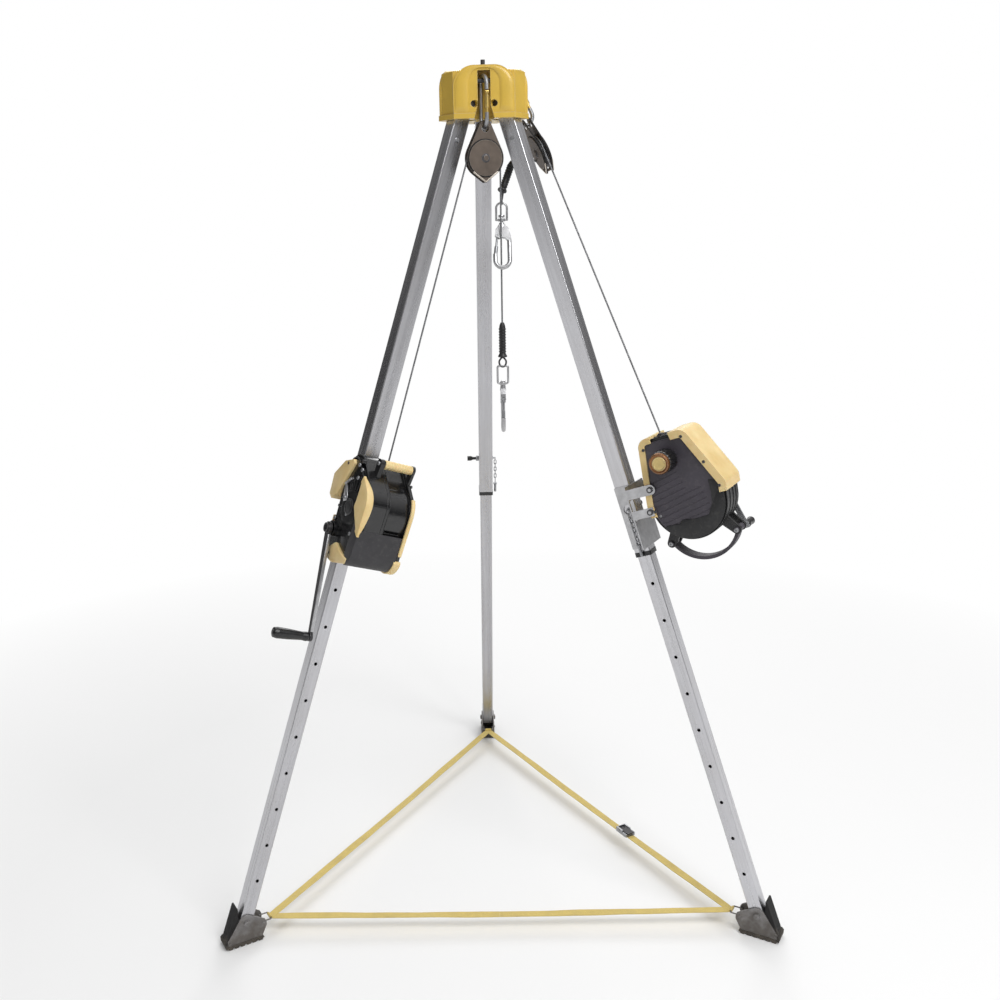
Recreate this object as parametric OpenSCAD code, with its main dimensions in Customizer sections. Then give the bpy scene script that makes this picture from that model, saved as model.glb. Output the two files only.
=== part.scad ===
/* [Stance] */
// Height of the leg hinge bolts above the floor
hinge_h = 2326; // [2200:1:2450]
// Distance of each leg hinge bolt from the centre line
hinge_r = 68; // [66:0.5:70]
// Distance of each foot pivot from the centre line
foot_r = 860; // [800:1:900]
// Height of each foot pivot above the floor
pivot_h = 70; // [68:0.5:74]

/* [Legs] */
// Width of the square outer tube
outer_w = 46; // [45.6:0.1:47]
// Width of the square inner tube
inner_w = 40; // [38:0.1:40.2]
// Wall of both tubes
tube_wall = 2.5; // [2:0.1:2.7]
// Length of the outer tube below the hinge
outer_len = 1297; // [1290:1:1310]
// Length of inner tube hidden in the outer tube
inner_overlap = 230; // [200:1:260]
// Distance of the lock plunger below the hinge
lock_s = 1163; // [1150:1:1180]
// Pitch of the holes down the inner tube
hole_pitch = 110; // [100:1:120]
// Number of holes in the inner tube
hole_count = 11; // [8:1:11]
// Diameter of the holes in the inner tube
hole_d = 10; // [9:0.1:11]
// Diameter of the leg hinge bolt
hinge_bolt_d = 12; // [10:0.5:13]
// Diameter of the foot pivot bolt
pivot_bolt_d = 10; // [8:0.5:12]

/* [Head] */
// Distance of each arched face from the centre line
arch_a = 92; // [90:0.5:96]
// Width of each arched face
arch_w = 166; // [160:1:172]
// Radius of the arch shoulders
arch_r = 56; // [40:1:64]
// Drop of the head casting's underside below the hinge bolts
head_drop = 38; // [34:1:42]
// Height of the head casting
head_height = 136; // [132:1:145]
// Width of the slots for the pulley carabiners
slot_w = 34; // [32:0.5:36]
// Diameter of the anchor bars in the slots
anchor_d = 12; // [10:0.5:14]

/* [Feet] */
// Width of the foot bracket over its side plates
foot_w = 48.6; // [47:0.1:52]
// Thickness of the rubber sole above its teeth
sole_t = 7; // [5:0.5:9]
// Height of the sole's teeth
tooth_h = 6; // [4:0.5:7]
// Number of teeth under each sole
tooth_count = 6; // [4:1:8]
// Width of the webbing between the feet
webbing_w = 25; // [20:1:30]
// Thickness of the webbing
webbing_t = 2; // [1.5:0.1:3]

/* [Ropes] */
// Diameter of both wire ropes
rope_d = 5; // [4:0.5:6]
// Radius at which the rope lies in each pulley
groove_r = 46; // [42:0.5:48]
// Radius at which the rope leaves the winch drum
drum_r = 45; // [38:0.5:50]
// Height of the winch hook's sleeve above the floor
winch_sleeve_z = 1640; // [1600:1:1680]

/* [Winch] */
// Gear teeth on the winch drum
gear_teeth = 60; // [60:1:60]
// Teeth on the crank's pinion
pinion_teeth = 15; // [15:1:15]
// Module of the winch gears
gear_module = 2.5; // [2.3:0.05:2.5]
// Distance of the crank grip from the crank's axis
crank_len = 300; // [240:1:320]
// Wall of the winch shells
shell_t = 4; // [3:0.5:5]

/* [Lifeline unit] */
// Thickness of the lifeline unit's case
unit_t = 116; // [110:1:124]
// Radius of the lifeline unit's round lower part
unit_r = 106; // [100:1:110]

/* [Hidden] */
$fn = 48;

// azimuths of the legs, and of the slots between them
left_az = 210;
right_az = 330;
back_az = 90;
front_slot_az = 270;
rear_slot_az = 30;
spare_slot_az = 150;

head_low = hinge_h - head_drop;
head_top = head_low + head_height;
lean = atan2(foot_r - hinge_r, hinge_h - pivot_h);
leg_len = norm([foot_r - hinge_r, hinge_h - pivot_h]);
hinge_fit = 0.05;
slide_gap = 0.5;
seat_gap = 0.3;
outer_half = outer_w / 2;
inner_half = inner_w / 2;
tube_top = 16;
tube_end = 14;
corner_r = 3;
inner_top_s = outer_len - inner_overlap;

alloy = [0.70, 0.71, 0.72];
steel = [0.62, 0.63, 0.65];
dark_steel = [0.30, 0.30, 0.31];
gold = [0.80, 0.66, 0.20];
amber = [0.88, 0.72, 0.36];
black_moulding = [0.09, 0.09, 0.10];
slate_moulding = [0.22, 0.21, 0.23];
rubber_black = [0.05, 0.05, 0.05];
bronze = [0.42, 0.37, 0.33];
webbing_yellow = [0.87, 0.75, 0.28];
rope_grey = [0.50, 0.50, 0.52];

// local frame of a leg: x outward, y sideways, z up along the tube, origin on the hinge bolt
module leg_frame(az) {
  rotate([0, 0, az])
    translate([hinge_r, 0, hinge_h])
      rotate([0, -lean, 0])
        children();
}

// local frame of a foot: x outward, z up, origin on the pivot bolt
module foot_frame(az) {
  rotate([0, 0, az])
    translate([foot_r, 0, pivot_h])
      children();
}

// square with rounded corners, centred
module soft_square(w, r) {
  square([w, w - 2 * r], center = true);
  square([w - 2 * r, w], center = true);
  for (sx = [-1, 1], sy = [-1, 1])
    translate([sx * (w / 2 - r), sy * (w / 2 - r)])
      circle(r);
}

// round bar from point p to point q
module bar(p, q, r) {
  v = q - p;
  translate(p)
    rotate([0, acos(v[2] / norm(v)), atan2(v[1], v[0])])
      cylinder(h = norm(v), r = r);
}

// cylinder along y, from y0 to y1
module y_cyl(y0, y1, r) {
  translate([0, y1, 0])
    rotate([90, 0, 0])
      cylinder(h = y1 - y0, r = r);
}

// cylinder along x, from x0 to x1
module x_cyl(x0, x1, r) {
  translate([x0, 0, 0])
    rotate([0, 90, 0])
      cylinder(h = x1 - x0, r = r);
}

// flat plate with the outline drawn in x and z, from y0 to y1
module xz_plate(y0, y1) {
  translate([0, y1, 0])
    rotate([90, 0, 0])
      linear_extrude(y1 - y0)
        children();
}

// flat plate with the outline drawn in y and z, from x0 to x1
module yz_plate(x0, x1) {
  translate([x0, 0, 0])
    rotate([90, 0, 90])
      linear_extrude(x1 - x0)
        children();
}

// part of a ring in the x-z plane, from angle a0 through sweep a
module xz_arc(ring_r, r, a0, a) {
  rotate([90, 0, 0])
    rotate([0, 0, a0])
      rotate_extrude(angle = a, $fn = 64)
        translate([ring_r, 0])
          circle(r, $fn = 24);
}

// hexagonal bolt head or nut along y, from y0 to y1
module y_hex(y0, y1, across) {
  translate([0, y1, 0])
    rotate([90, 0, 0])
      cylinder(h = y1 - y0, r = across / sqrt(3), $fn = 6);
}

module tube(w, z0, z1) {
  translate([0, 0, z0])
    linear_extrude(z1 - z0)
      difference() {
        soft_square(w, corner_r);
        square(w - 2 * tube_wall, center = true);
      }
}

// outer tube: hinge bolt hole, stop bolt hole and plunger hole
bush_r = 9;
stop_bolt_s = 96;
stop_bolt_d = 6;
nose_d = 9.5;
module upper_leg(az, side) {
  color(alloy)
    leg_frame(az)
      difference() {
        tube(outer_w, -outer_len, tube_top);
        y_cyl(-outer_half - 1, outer_half + 1, hinge_bolt_d / 2 + hinge_fit);
        translate([0, 0, -stop_bolt_s])
          y_cyl(-outer_half - 1, outer_half + 1, stop_bolt_d / 2 + hinge_fit);
        translate([0, 0, -lock_s])
          mirror([0, side, 0])
            y_cyl(0, outer_half + 1, nose_d / 2 + hinge_fit);
      }
}

// inner tube: a row of holes and the foot pivot hole
module lower_leg(az) {
  color(alloy)
    leg_frame(az)
      difference() {
        tube(inner_w, -leg_len - tube_end, -inner_top_s);
        for (i = [0 : hole_count - 1])
          translate([0, 0, -lock_s - i * hole_pitch])
            y_cyl(-inner_half - 1, inner_half + 1, hole_d / 2);
        translate([0, 0, -leg_len])
          y_cyl(-inner_half - 1, inner_half + 1, pivot_bolt_d / 2 + hinge_fit);
      }
}

// one oval chain link standing in the x-z plane
link_len = 14;
link_wire = 2.6;
link_w = 4.4;
module chain_link() {
  side = link_w / 2 + link_wire / 2;
  straight = (link_len - link_w) / 2;
  translate([0, 0, straight])
    xz_arc(side, link_wire / 2, 0, 180);
  translate([0, 0, -straight])
    xz_arc(side, link_wire / 2, 180, 180);
  for (s = [-1, 1])
    translate([s * side, 0, -straight])
      cylinder(h = 2 * straight, r = link_wire / 2, $fn = 24);
}

// plunger bush, stop bolt, and the tethered spare pin on its chain
bush_len = 10;
chain_links = 6;
eye_stub = 8;
chain_y = -outer_half - eye_stub - link_wire / 2;
link_step = link_len - 0.2;
eye_r = 5;
spare_pin_len = 34;
module lock_fittings(az, side, eye_drop) {
  color(black_moulding)
    leg_frame(az)
      translate([0, 0, -lock_s])
        mirror([0, side, 0])
          difference() {
            y_cyl(outer_half, outer_half + bush_len, bush_r);
            y_cyl(outer_half - 1, outer_half + bush_len + 1, nose_d / 2 + hinge_fit);
          }
  color(steel)
    leg_frame(az) {
      translate([0, 0, -stop_bolt_s]) {
        y_cyl(-outer_half, outer_half, stop_bolt_d / 2);
        y_hex(outer_half, outer_half + 4, 10);
        y_hex(-outer_half - 4, -outer_half, 10);
      }
      translate([0, 0, -lock_s - eye_drop]) {
        y_cyl(-outer_half - 2, -outer_half, 6);
        y_cyl(-outer_half - eye_stub, -outer_half - 2, 2.5);
        translate([0, chain_y, -eye_r - link_wire / 2 + 2.5])
          xz_arc(eye_r, link_wire / 2, 0, 360);
        for (i = [0 : chain_links - 1])
          translate([0, chain_y, -2 * eye_r - link_step * (i + 0.5)])
            rotate([0, 0, i % 2 == 0 ? 90 : 0])
              chain_link();
        translate([0, chain_y, -2 * eye_r - link_step * chain_links])
          spare_pin();
      }
    }
}

// small tethered pin that hangs from the last link
module spare_pin() {
  translate([0, 0, -eye_r + link_wire / 2 + 0.6])
    xz_arc(eye_r, link_wire / 2, 0, 360);
  translate([0, 0, -2 * eye_r - spare_pin_len + 0.6])
    cylinder(h = spare_pin_len, r = 4);
  translate([0, 0, -2 * eye_r - 4 + 0.6])
    cylinder(h = 4.5, r = 6);
}

// pull knob and nose, shown drawn back: pushed in, the nose enters a hole of the inner tube
plunger_throw = 10;
knob_len = 18;
module lock_plunger(az, side) {
  nose_tip = inner_half + 0.8;
  knob_in = outer_half + bush_len + plunger_throw + 1;
  leg_frame(az)
    translate([0, 0, -lock_s])
      mirror([0, side, 0]) {
        color(steel)
          y_cyl(nose_tip, knob_in + 1, nose_d / 2);
        color(black_moulding) {
          y_cyl(knob_in, knob_in + 4, 6);
          y_cyl(knob_in + 4, knob_in + knob_len, 8);
        }
      }
}

// head casting: three arched faces with slots, three leg pockets open below
head_bevel = 9;
panel_b = 114;
roof_z = head_top - 14;
pocket_half = outer_half + 1.5;
pocket_in = 31;
pocket_out = 107.5;
pocket_top = hinge_h + 31;
anchor_r = 84;
anchor_drop = 40;
anchor_z = head_top - anchor_drop;
flange_t = 14;
bolt_out = (arch_a - hinge_r / 2) / cos(30);
module arch_profile() {
  h = head_top - head_low;
  half = arch_w / 2;
  translate([-half, 0])
    square([arch_w, h - arch_r]);
  translate([-half + arch_r, 0])
    square([arch_w - 2 * arch_r, h]);
  for (s = [-1, 1])
    translate([s * (half - arch_r), h - arch_r])
      circle(arch_r, $fn = 96);
}

module arch_block(az) {
  rotate([0, 0, az - 90])
    translate([0, arch_a, head_low])
      rotate([90, 0, 0])
        linear_extrude(arch_a)
          arch_profile();
}

// hexagon with three long and three short sides, grown by e
function hex_points(a, b) = [
  for (k = [0 : 2])
    for (s = [-1, 1])
      let (az = front_slot_az + 120 * k, half = (b - a * cos(60)) / sin(60))
        [a * cos(az) - s * half * sin(az), a * sin(az) + s * half * cos(az)]
];

module hex_prism(a, b, z0, z1) {
  translate([0, 0, z0])
    linear_extrude(z1 - z0)
      polygon(hex_points(a, b));
}

module head_casting() {
  color(gold)
    difference() {
      union() {
        for (az = [front_slot_az, rear_slot_az, spare_slot_az])
          arch_block(az);
        intersection() {
          hex_prism(arch_a - head_bevel, panel_b, head_low, roof_z);
          translate([0, 0, head_low])
            cylinder(h = roof_z - head_low, r1 = 212, r2 = 116, $fn = 96);
        }
        hex_prism(arch_a + 3, panel_b + 5, head_low, head_low + flange_t);
      }
      for (az = [left_az, right_az, back_az])
        rotate([0, 0, az]) {
          translate([pocket_in, -pocket_half, head_low - 1])
            cube([pocket_out - pocket_in, 2 * pocket_half, pocket_top - head_low + 1]);
          translate([hinge_r, 0, hinge_h]) {
            y_cyl(-bolt_out - 20, bolt_out + 20, hinge_bolt_d / 2 + hinge_fit);
            y_cyl(-bolt_out - 20, -head_seat, head_recess_r);
            y_cyl(head_seat, bolt_out + 20, head_recess_r);
          }
        }
      for (az = [front_slot_az, rear_slot_az, spare_slot_az])
        rotate([0, 0, az]) {
          translate([54, -slot_w / 2, head_low - 1])
            cube([60, slot_w, head_top - 14 - head_low + 1]);
          yz_plate(54, 114)
            polygon([[-slot_w / 2, head_low + 36], [-slot_w / 2 - 10, head_low - 1],
                     [slot_w / 2 + 10, head_low - 1], [slot_w / 2, head_low + 36]]);
          translate([anchor_r, 0, anchor_z])
            y_cyl(-slot_w / 2 - 12, slot_w / 2 + 12, anchor_d / 2 + hinge_fit);
        }
      translate([0, 0, head_low - 1])
        cylinder(h = 40, r = 24);
    }
}

// hinge bolts with heads in recesses, anchor bars, and the knob on top
head_seat = 49;
head_recess_r = 9;
module head_bolts() {
  color(steel)
    for (az = [left_az, right_az, back_az])
      rotate([0, 0, az])
        translate([hinge_r, 0, hinge_h]) {
          y_cyl(-head_seat, head_seat, hinge_bolt_d / 2);
          y_cyl(head_seat, head_seat + 7, head_recess_r - 0.5);
          y_cyl(-head_seat - 7, -head_seat, head_recess_r - 0.5);
        }
  color(dark_steel)
    for (az = [front_slot_az, rear_slot_az, spare_slot_az])
      rotate([0, 0, az])
        translate([anchor_r, 0, anchor_z])
          y_cyl(-slot_w / 2 - 12, slot_w / 2 + 12, anchor_d / 2);
  color(black_moulding)
    translate([0, 0, head_top]) {
      cylinder(h = 5, r = 10);
      translate([0, 0, 5])
        cylinder(h = 18, r = 6);
    }
}

// outline of a foot's side plate, pivot at the origin
plate_t = (foot_w - inner_w) / 2 - seat_gap;
plate_low = -pivot_h + sole_t + tooth_h;
module foot_outline() {
  difference() {
    union() {
      circle(25, $fn = 64);
      polygon([[-14, 20.7], [-56, -6], [-60, -14], [-60, -26], [-44, plate_low], [60, plate_low],
               [60, plate_low + 12], [18, 17.3]]);
    }
    translate([ring_in, ring_z])
      circle(ring_wire / 2 + hinge_fit);
  }
}

// cast bracket with pivot bolt, toe bolt and the wire ring for the webbing
ring_wire = 4;
ring_in = -50;
ring_out = -78;
ring_z = -17;
module foot_bracket(az) {
  foot_frame(az) {
    color(steel) {
      difference() {
        union() {
          for (s = [0, 1])
            mirror([0, s, 0])
              xz_plate(inner_half + seat_gap, foot_w / 2)
                foot_outline();
          translate([-44, -foot_w / 2, plate_low])
            cube([104, foot_w, 4]);
          translate([46, -foot_w / 2, plate_low])
            cube([14, foot_w, 12]);
        }
        y_cyl(-foot_w, foot_w, pivot_bolt_d / 2 + hinge_fit);
      }
      y_cyl(-foot_w / 2 - 6, foot_w / 2 + 6, pivot_bolt_d / 2);
      y_hex(foot_w / 2, foot_w / 2 + 5, 16);
      y_hex(-foot_w / 2 - 5, -foot_w / 2, 16);
      translate([53, 0, plate_low + 6])
        for (s = [-1, 1])
          y_cyl(min(s * foot_w / 2, s * (foot_w / 2 + 3)), max(s * foot_w / 2, s * (foot_w / 2 + 3)), 5);
    }
    color(dark_steel)
      wire_ring();
  }
}

module ring_corner(x, y, a0) {
  translate([x, y, ring_z])
    rotate([0, 0, a0])
      rotate_extrude(angle = 90, $fn = 64)
        translate([ring_bend, 0])
          circle(ring_wire / 2, $fn = 24);
}

// wire bent round the crossbar, its ends turned out through the side plates
ring_half = 17;
ring_bend = 4;
module wire_ring() {
  r = ring_wire / 2;
  end_y = ring_half + ring_bend;
  translate([ring_out, 0, ring_z])
    y_cyl(-ring_half + ring_bend, ring_half - ring_bend, r);
  for (s = [0, 1])
    mirror([0, s, 0]) {
      ring_corner(ring_out + ring_bend, ring_half - ring_bend, 90);
      translate([0, ring_half, ring_z])
        x_cyl(ring_out + ring_bend, ring_in - ring_bend, r);
      ring_corner(ring_in - ring_bend, end_y, 270);
      translate([ring_in, 0, ring_z])
        y_cyl(end_y, foot_w / 2 + 0.1, r);
      translate([ring_in, 0, ring_z])
        y_cyl(foot_w / 2, foot_w / 2 + 2.5, 3.6);
    }
}

// rubber shoe: toothed sole, and a heel wall outside the tube
sole_w = foot_w + 3;
module sole(az) {
  tooth_pitch = 108 / tooth_count;
  color(rubber_black)
    foot_frame(az) {
      xz_plate(-sole_w / 2, sole_w / 2)
        union() {
          polygon([[-47, plate_low], [-50, plate_low - sole_t], [66, plate_low - sole_t],
                   [67, plate_low + 6], [60.3, plate_low + 13], [60.3, plate_low]]);
          for (i = [0 : tooth_count - 1])
            translate([-48 + i * tooth_pitch + 2, -pivot_h])
              polygon([[3, 0], [tooth_pitch - 5, 0], [tooth_pitch - 1, tooth_h + 0.5], [0, tooth_h + 0.5]]);
        }
      xz_plate(-inner_half, inner_half)
        polygon([[27, plate_low + 4], [45.7, plate_low + 4], [45.7, plate_low + 12.3], [59, plate_low + 12.3],
                 [59, plate_low + 18], [26, 50], [21.6, 50], [22, 0], [27, -12]]);
    }
}

// one arm of webbing from a foot's ring to the middle of a side
strap_r = foot_r + ring_out;
strap_z = pivot_h + ring_z;
strap_gap = 1;
strap_in = 3;
strap_side = (strap_r - strap_in) * sqrt(3);
strap_drop = -ring_wire / 2 - seat_gap - webbing_t / 2;
module strap_arm(turn) {
  rotate([0, 0, turn])
    translate([0, -webbing_w / 2, -webbing_t / 2])
      cube([strap_side / 2 - strap_gap, webbing_w, webbing_t]);
}

module strap(az) {
  color(webbing_yellow)
    rotate([0, 0, az])
      translate([strap_r, 0, strap_z])
        difference() {
          union() {
            translate([-strap_in, 0, strap_drop]) {
              strap_arm(150);
              strap_arm(-150);
            }
            xz_plate(-webbing_w / 2, webbing_w / 2)
              circle(ring_wire / 2 + seat_gap + webbing_t);
          }
          y_cyl(-webbing_w, webbing_w, ring_wire / 2 + seat_gap);
        }
}

// cam buckle on the webbing between the right and back feet
buckle_s = 488;
buckle_l = 52;
buckle_h = 14;
buckle_gap = 0.3;
module on_strap(s) {
  rotate([0, 0, right_az])
    translate([strap_r - strap_in, 0, strap_z + strap_drop])
      rotate([0, 0, 150])
        translate([s, 0, 0])
          rotate([0, 0, 180])
            children();
}

module strap_buckle() {
  w = webbing_w + 11;
  slot_h = webbing_t + 2 * buckle_gap;
  color(steel)
    on_strap(buckle_s)
      difference() {
        translate([-buckle_l / 2, -w / 2, -slot_h / 2 - 2])
          cube([buckle_l, w, buckle_h + 2]);
        translate([-buckle_l, -webbing_w / 2 - 0.5, -slot_h / 2])
          cube([2 * buckle_l, webbing_w + 1, slot_h]);
        translate([-buckle_l / 2 + 3, -webbing_w / 2 - 0.5, slot_h / 2 + 2])
          cube([buckle_l, webbing_w + 1, buckle_h]);
        translate([-buckle_l / 2 + 16, 0, 8])
          y_cyl(-w, w, 2.5 + hinge_fit);
        translate([-buckle_l / 2 + 30, -w, slot_h / 2 + 6])
          cube([buckle_l, 2 * w, buckle_h]);
      }
}

module buckle_lever() {
  slot_h = webbing_t + 2 * buckle_gap;
  color(dark_steel)
    on_strap(buckle_s)
      translate([-buckle_l / 2 + 16, 0, 8]) {
        y_cyl(-webbing_w / 2 - 5.5, webbing_w / 2 + 5.5, 2.5);
        y_cyl(-webbing_w / 2, webbing_w / 2, 4.6);
        translate([0, -webbing_w / 2, -1])
          cube([buckle_l - 14, webbing_w, 3.4]);
      }
}

// carabiner hanging in the local x-z plane: top of the opening at z = 0
rod_r = 5.5;
carabiner_w = 60;
carabiner_l = 142;
module carabiner_bow(ends) {
  ring_r = carabiner_w / 2 - rod_r;
  straight = carabiner_l - carabiner_w;
  translate([0, 0, -ring_r + rod_r])
    xz_arc(ring_r, rod_r, 0, 180);
  translate([0, 0, -ring_r + rod_r - straight])
    xz_arc(ring_r, rod_r, 180, 180);
  translate([ring_r, 0, -ring_r + rod_r - straight])
    cylinder(h = straight, r = rod_r);
  for (s = [0, 1])
    translate([-ring_r, 0, s == 0 ? -ring_r + rod_r - straight : -ring_r + rod_r - ends])
      cylinder(h = ends, r = rod_r);
}

// gate of a carabiner, with its pivot knuckle and locking sleeve
gate_end = 12;
gate_gap = 0.6;
gate_z1 = -carabiner_w / 2 + 2 * rod_r - gate_end - gate_gap - 4.9;
gate_z0 = -carabiner_w / 2 + 2 * rod_r - (carabiner_l - carabiner_w) + gate_end + gate_gap;
module carabiner_gate_bar() {
  translate([-carabiner_w / 2 + rod_r, 0, 0]) {
    translate([0, 0, gate_z0])
      cylinder(h = gate_z1 - gate_z0, r = rod_r - 0.8);
    translate([0, 0, gate_z0 + 12])
      cylinder(h = gate_z1 - gate_z0 - 22, r = rod_r + 1.6);
    translate([0, 0, gate_z1])
      y_cyl(-4.4, 4.4, 4.9);
  }
}

// where the two pulleys hang: the front one straight down, the rear one pulled aside
eye_hole_r = 11;
eye_drop = 2.4;
hole_to_sheave = 78;
sheave_shift = -1;
bar_seat = anchor_d / 2 + 0.6;
hang_len = carabiner_l - 3 * rod_r - bar_seat + eye_drop;
front_yaw = 18;
front_bar = [-1, -anchor_r, anchor_z];
front_hole = front_bar - [0, 0, hang_len];
rear_bar = [anchor_r * cos(rear_slot_az), anchor_r * sin(rear_slot_az), anchor_z];
rear_yaw = 177.96;
rear_tilt = 25.76;
rear_turn = -78;

module rear_line() {
  translate(rear_bar)
    rotate([0, 0, rear_yaw])
      rotate([0, rear_tilt, 0])
        rotate([0, 0, rear_turn])
          children();
}

module front_carabiner_frame() {
  translate(front_bar + [0, 0, bar_seat])
    rotate([0, 0, 90 + front_yaw])
      children();
}

module rear_carabiner_frame() {
  rear_line()
    translate([0, 0, bar_seat])
      rotate([0, 0, 90])
        children();
}

module front_pulley_frame() {
  translate(front_hole)
    rotate([0, 0, front_yaw])
      children();
}

module rear_pulley_frame() {
  rear_line()
    translate([0, 0, -hang_len])
      children();
}

module front_carabiner() {
  color(steel)
    front_carabiner_frame()
      carabiner_bow(gate_end);
}

module front_carabiner_gate() {
  color(gold)
    front_carabiner_frame()
      carabiner_gate_bar();
}

module rear_carabiner() {
  color(steel)
    rear_carabiner_frame()
      carabiner_bow(gate_end);
}

module rear_carabiner_gate() {
  color(gold)
    rear_carabiner_frame()
      carabiner_gate_bar();
}

// teardrop side plate drawn with the eye at the origin
plate_r = 52;
module teardrop() {
  difference() {
    hull() {
      translate([0, 2])
        circle(18, $fn = 64);
      translate([sheave_shift, -hole_to_sheave])
        circle(plate_r, $fn = 96);
      translate([sheave_shift, -hole_to_sheave - plate_r - 8])
        circle(4, $fn = 24);
    }
  }
}

// two plates, the raised discs, the axle and the distance pieces
sheave_half = 6;
pulley_plate_t = 3.5;
module pulley_plates() {
  y0 = sheave_half + 1;
  y1 = y0 + pulley_plate_t;
  for (s = [0, 1])
    mirror([0, s, 0])
      difference() {
        union() {
          xz_plate(y0, y1)
            teardrop();
          translate([sheave_shift, 0, -hole_to_sheave]) {
            y_cyl(y1 - 0.5, y1 + 3, plate_r - 5);
            y_cyl(y1 + 2, y1 + 7, 7);
          }
        }
        y_cyl(y0 - 1, y1 + 1, eye_hole_r);
        translate([sheave_shift, 0, -hole_to_sheave])
          y_cyl(0, y1 + 1, 5 + hinge_fit);
      }
  translate([sheave_shift, 0, -hole_to_sheave])
    y_cyl(-y1, y1, 5);
  translate([sheave_shift, 0, -hole_to_sheave - plate_r - 4])
    y_cyl(-y0, y0, 4);
}

// grooved wheel with a hub and lightening holes
module sheave() {
  rim = groove_r + rope_d / 2 - 1;
  groove_half = rope_d / 2 + 1.2;
  floor_r = groove_r - groove_half;
  translate([sheave_shift, 0, -hole_to_sheave])
    rotate([90, 0, 0])
      difference() {
        rotate_extrude($fn = 96)
          difference() {
            translate([5 + hinge_fit, -sheave_half])
              square([rim - 5 - hinge_fit, 2 * sheave_half]);
            translate([groove_r, 0])
              circle(groove_half, $fn = 32);
            polygon([[groove_r, -groove_half], [rim + 1, -sheave_half + 0.2],
                     [rim + 1, sheave_half - 0.2], [groove_r, groove_half]]);
            for (s = [-1, 1])
              translate([12, s == 1 ? sheave_half - 1.5 : -sheave_half - 1])
                square([floor_r - 18, 2.5]);
          }
        for (a = [0 : 60 : 300])
          rotate([0, 0, a])
            translate([25, 0, -sheave_half - 1])
              cylinder(h = 2 * sheave_half + 2, r = 6);
      }
}

module front_pulley_plates() {
  color(bronze)
    front_pulley_frame()
      pulley_plates();
}

module front_sheave() {
  color(dark_steel)
    front_pulley_frame()
      sheave();
}

module rear_pulley_plates() {
  color(bronze)
    rear_pulley_frame()
      pulley_plates();
}

module rear_sheave() {
  color(dark_steel)
    rear_pulley_frame()
      sheave();
}

// involute gear outline, teeth thinned by the backlash
pressure = 20;
function inv_point(rb, t) = [rb * (cos(t) + t * PI / 180 * sin(t)), rb * (sin(t) - t * PI / 180 * cos(t))];
function spin(p, a) = [p[0] * cos(a) - p[1] * sin(a), p[0] * sin(a) + p[1] * cos(a)];
function tooth_flank(m, n, lash, steps) =
  let (
    rp = m * n / 2,
    rb = rp * cos(pressure),
    ra = rp + m * 0.95,
    rf = rp - m * 1.25,
    half = 90 / n - lash / rp * 90 / PI + (tan(pressure) * 180 / PI - pressure),
    t1 = sqrt(pow(ra / rb, 2) - 1) * 180 / PI,
    t0 = rf > rb ? sqrt(pow(rf / rb, 2) - 1) * 180 / PI : 0
  )
  concat(
    rf < rb ? [spin([rf, 0], -half)] : [],
    [for (i = [0 : steps]) spin(inv_point(rb, t0 + (t1 - t0) * i / steps), -half)]
  );
function mirrored(points) = [for (i = [len(points) - 1 : -1 : 0]) [points[i][0], -points[i][1]]];
function gear_points(m, n, lash) =
  let (flank = tooth_flank(m, n, lash, 3), tooth = concat(flank, mirrored(flank)))
  [for (k = [0 : n - 1]) for (p = tooth) spin(p, 360 * k / n)];

// winch drum, gear and crank axes in the left leg's frame
drum_y = 122;
drum_z = -1130;
gear_gap = gear_module * (gear_teeth + pinion_teeth) / 2;
crank_angle = 232.8;
crank_y = drum_y + gear_gap * cos(crank_angle);
crank_z = drum_z + gear_gap * sin(crank_angle);
gear_lash = 0.5;
gear_x = 40;
gear_t = 14;
case_x0 = -74;
case_x1 = 78;
split_x = 14;
drum_space = gear_module * (gear_teeth / 2 + 0.95) + 1.5;
pinion_space = gear_module * (pinion_teeth / 2 + 0.95) + 1.5;
lead_y = drum_y - drum_r;
lead_w = 9;

// side outline of the winch in y and z, grown by e
module winch_outline(e) {
  hull() {
    translate([84, -1030])
      circle(42 + e, $fn = 48);
    translate([150, -1112])
      circle(62 + e, $fn = 64);
    translate([160, -1238])
      circle(42 + e, $fn = 48);
    translate([76, -1240])
      circle(34 + e, $fn = 48);
  }
}

module at_drum(x) {
  translate([x, drum_y, drum_z])
    children();
}

module at_crank(x) {
  translate([x, crank_y, crank_z])
    children();
}

// room inside for the drum, the gears and the rope's way out
module winch_room() {
  at_drum(0)
    x_cyl(case_x0 + shell_t, gear_x + gear_t + 1.5, drum_space);
  at_crank(0)
    x_cyl(gear_x - 1.5, gear_x + gear_t + 1.5, pinion_space);
  translate([outlet[0] - lead_w / 2, lead_y - lead_w / 2, drum_z])
    cube([lead_w, lead_w, 200]);
}

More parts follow.
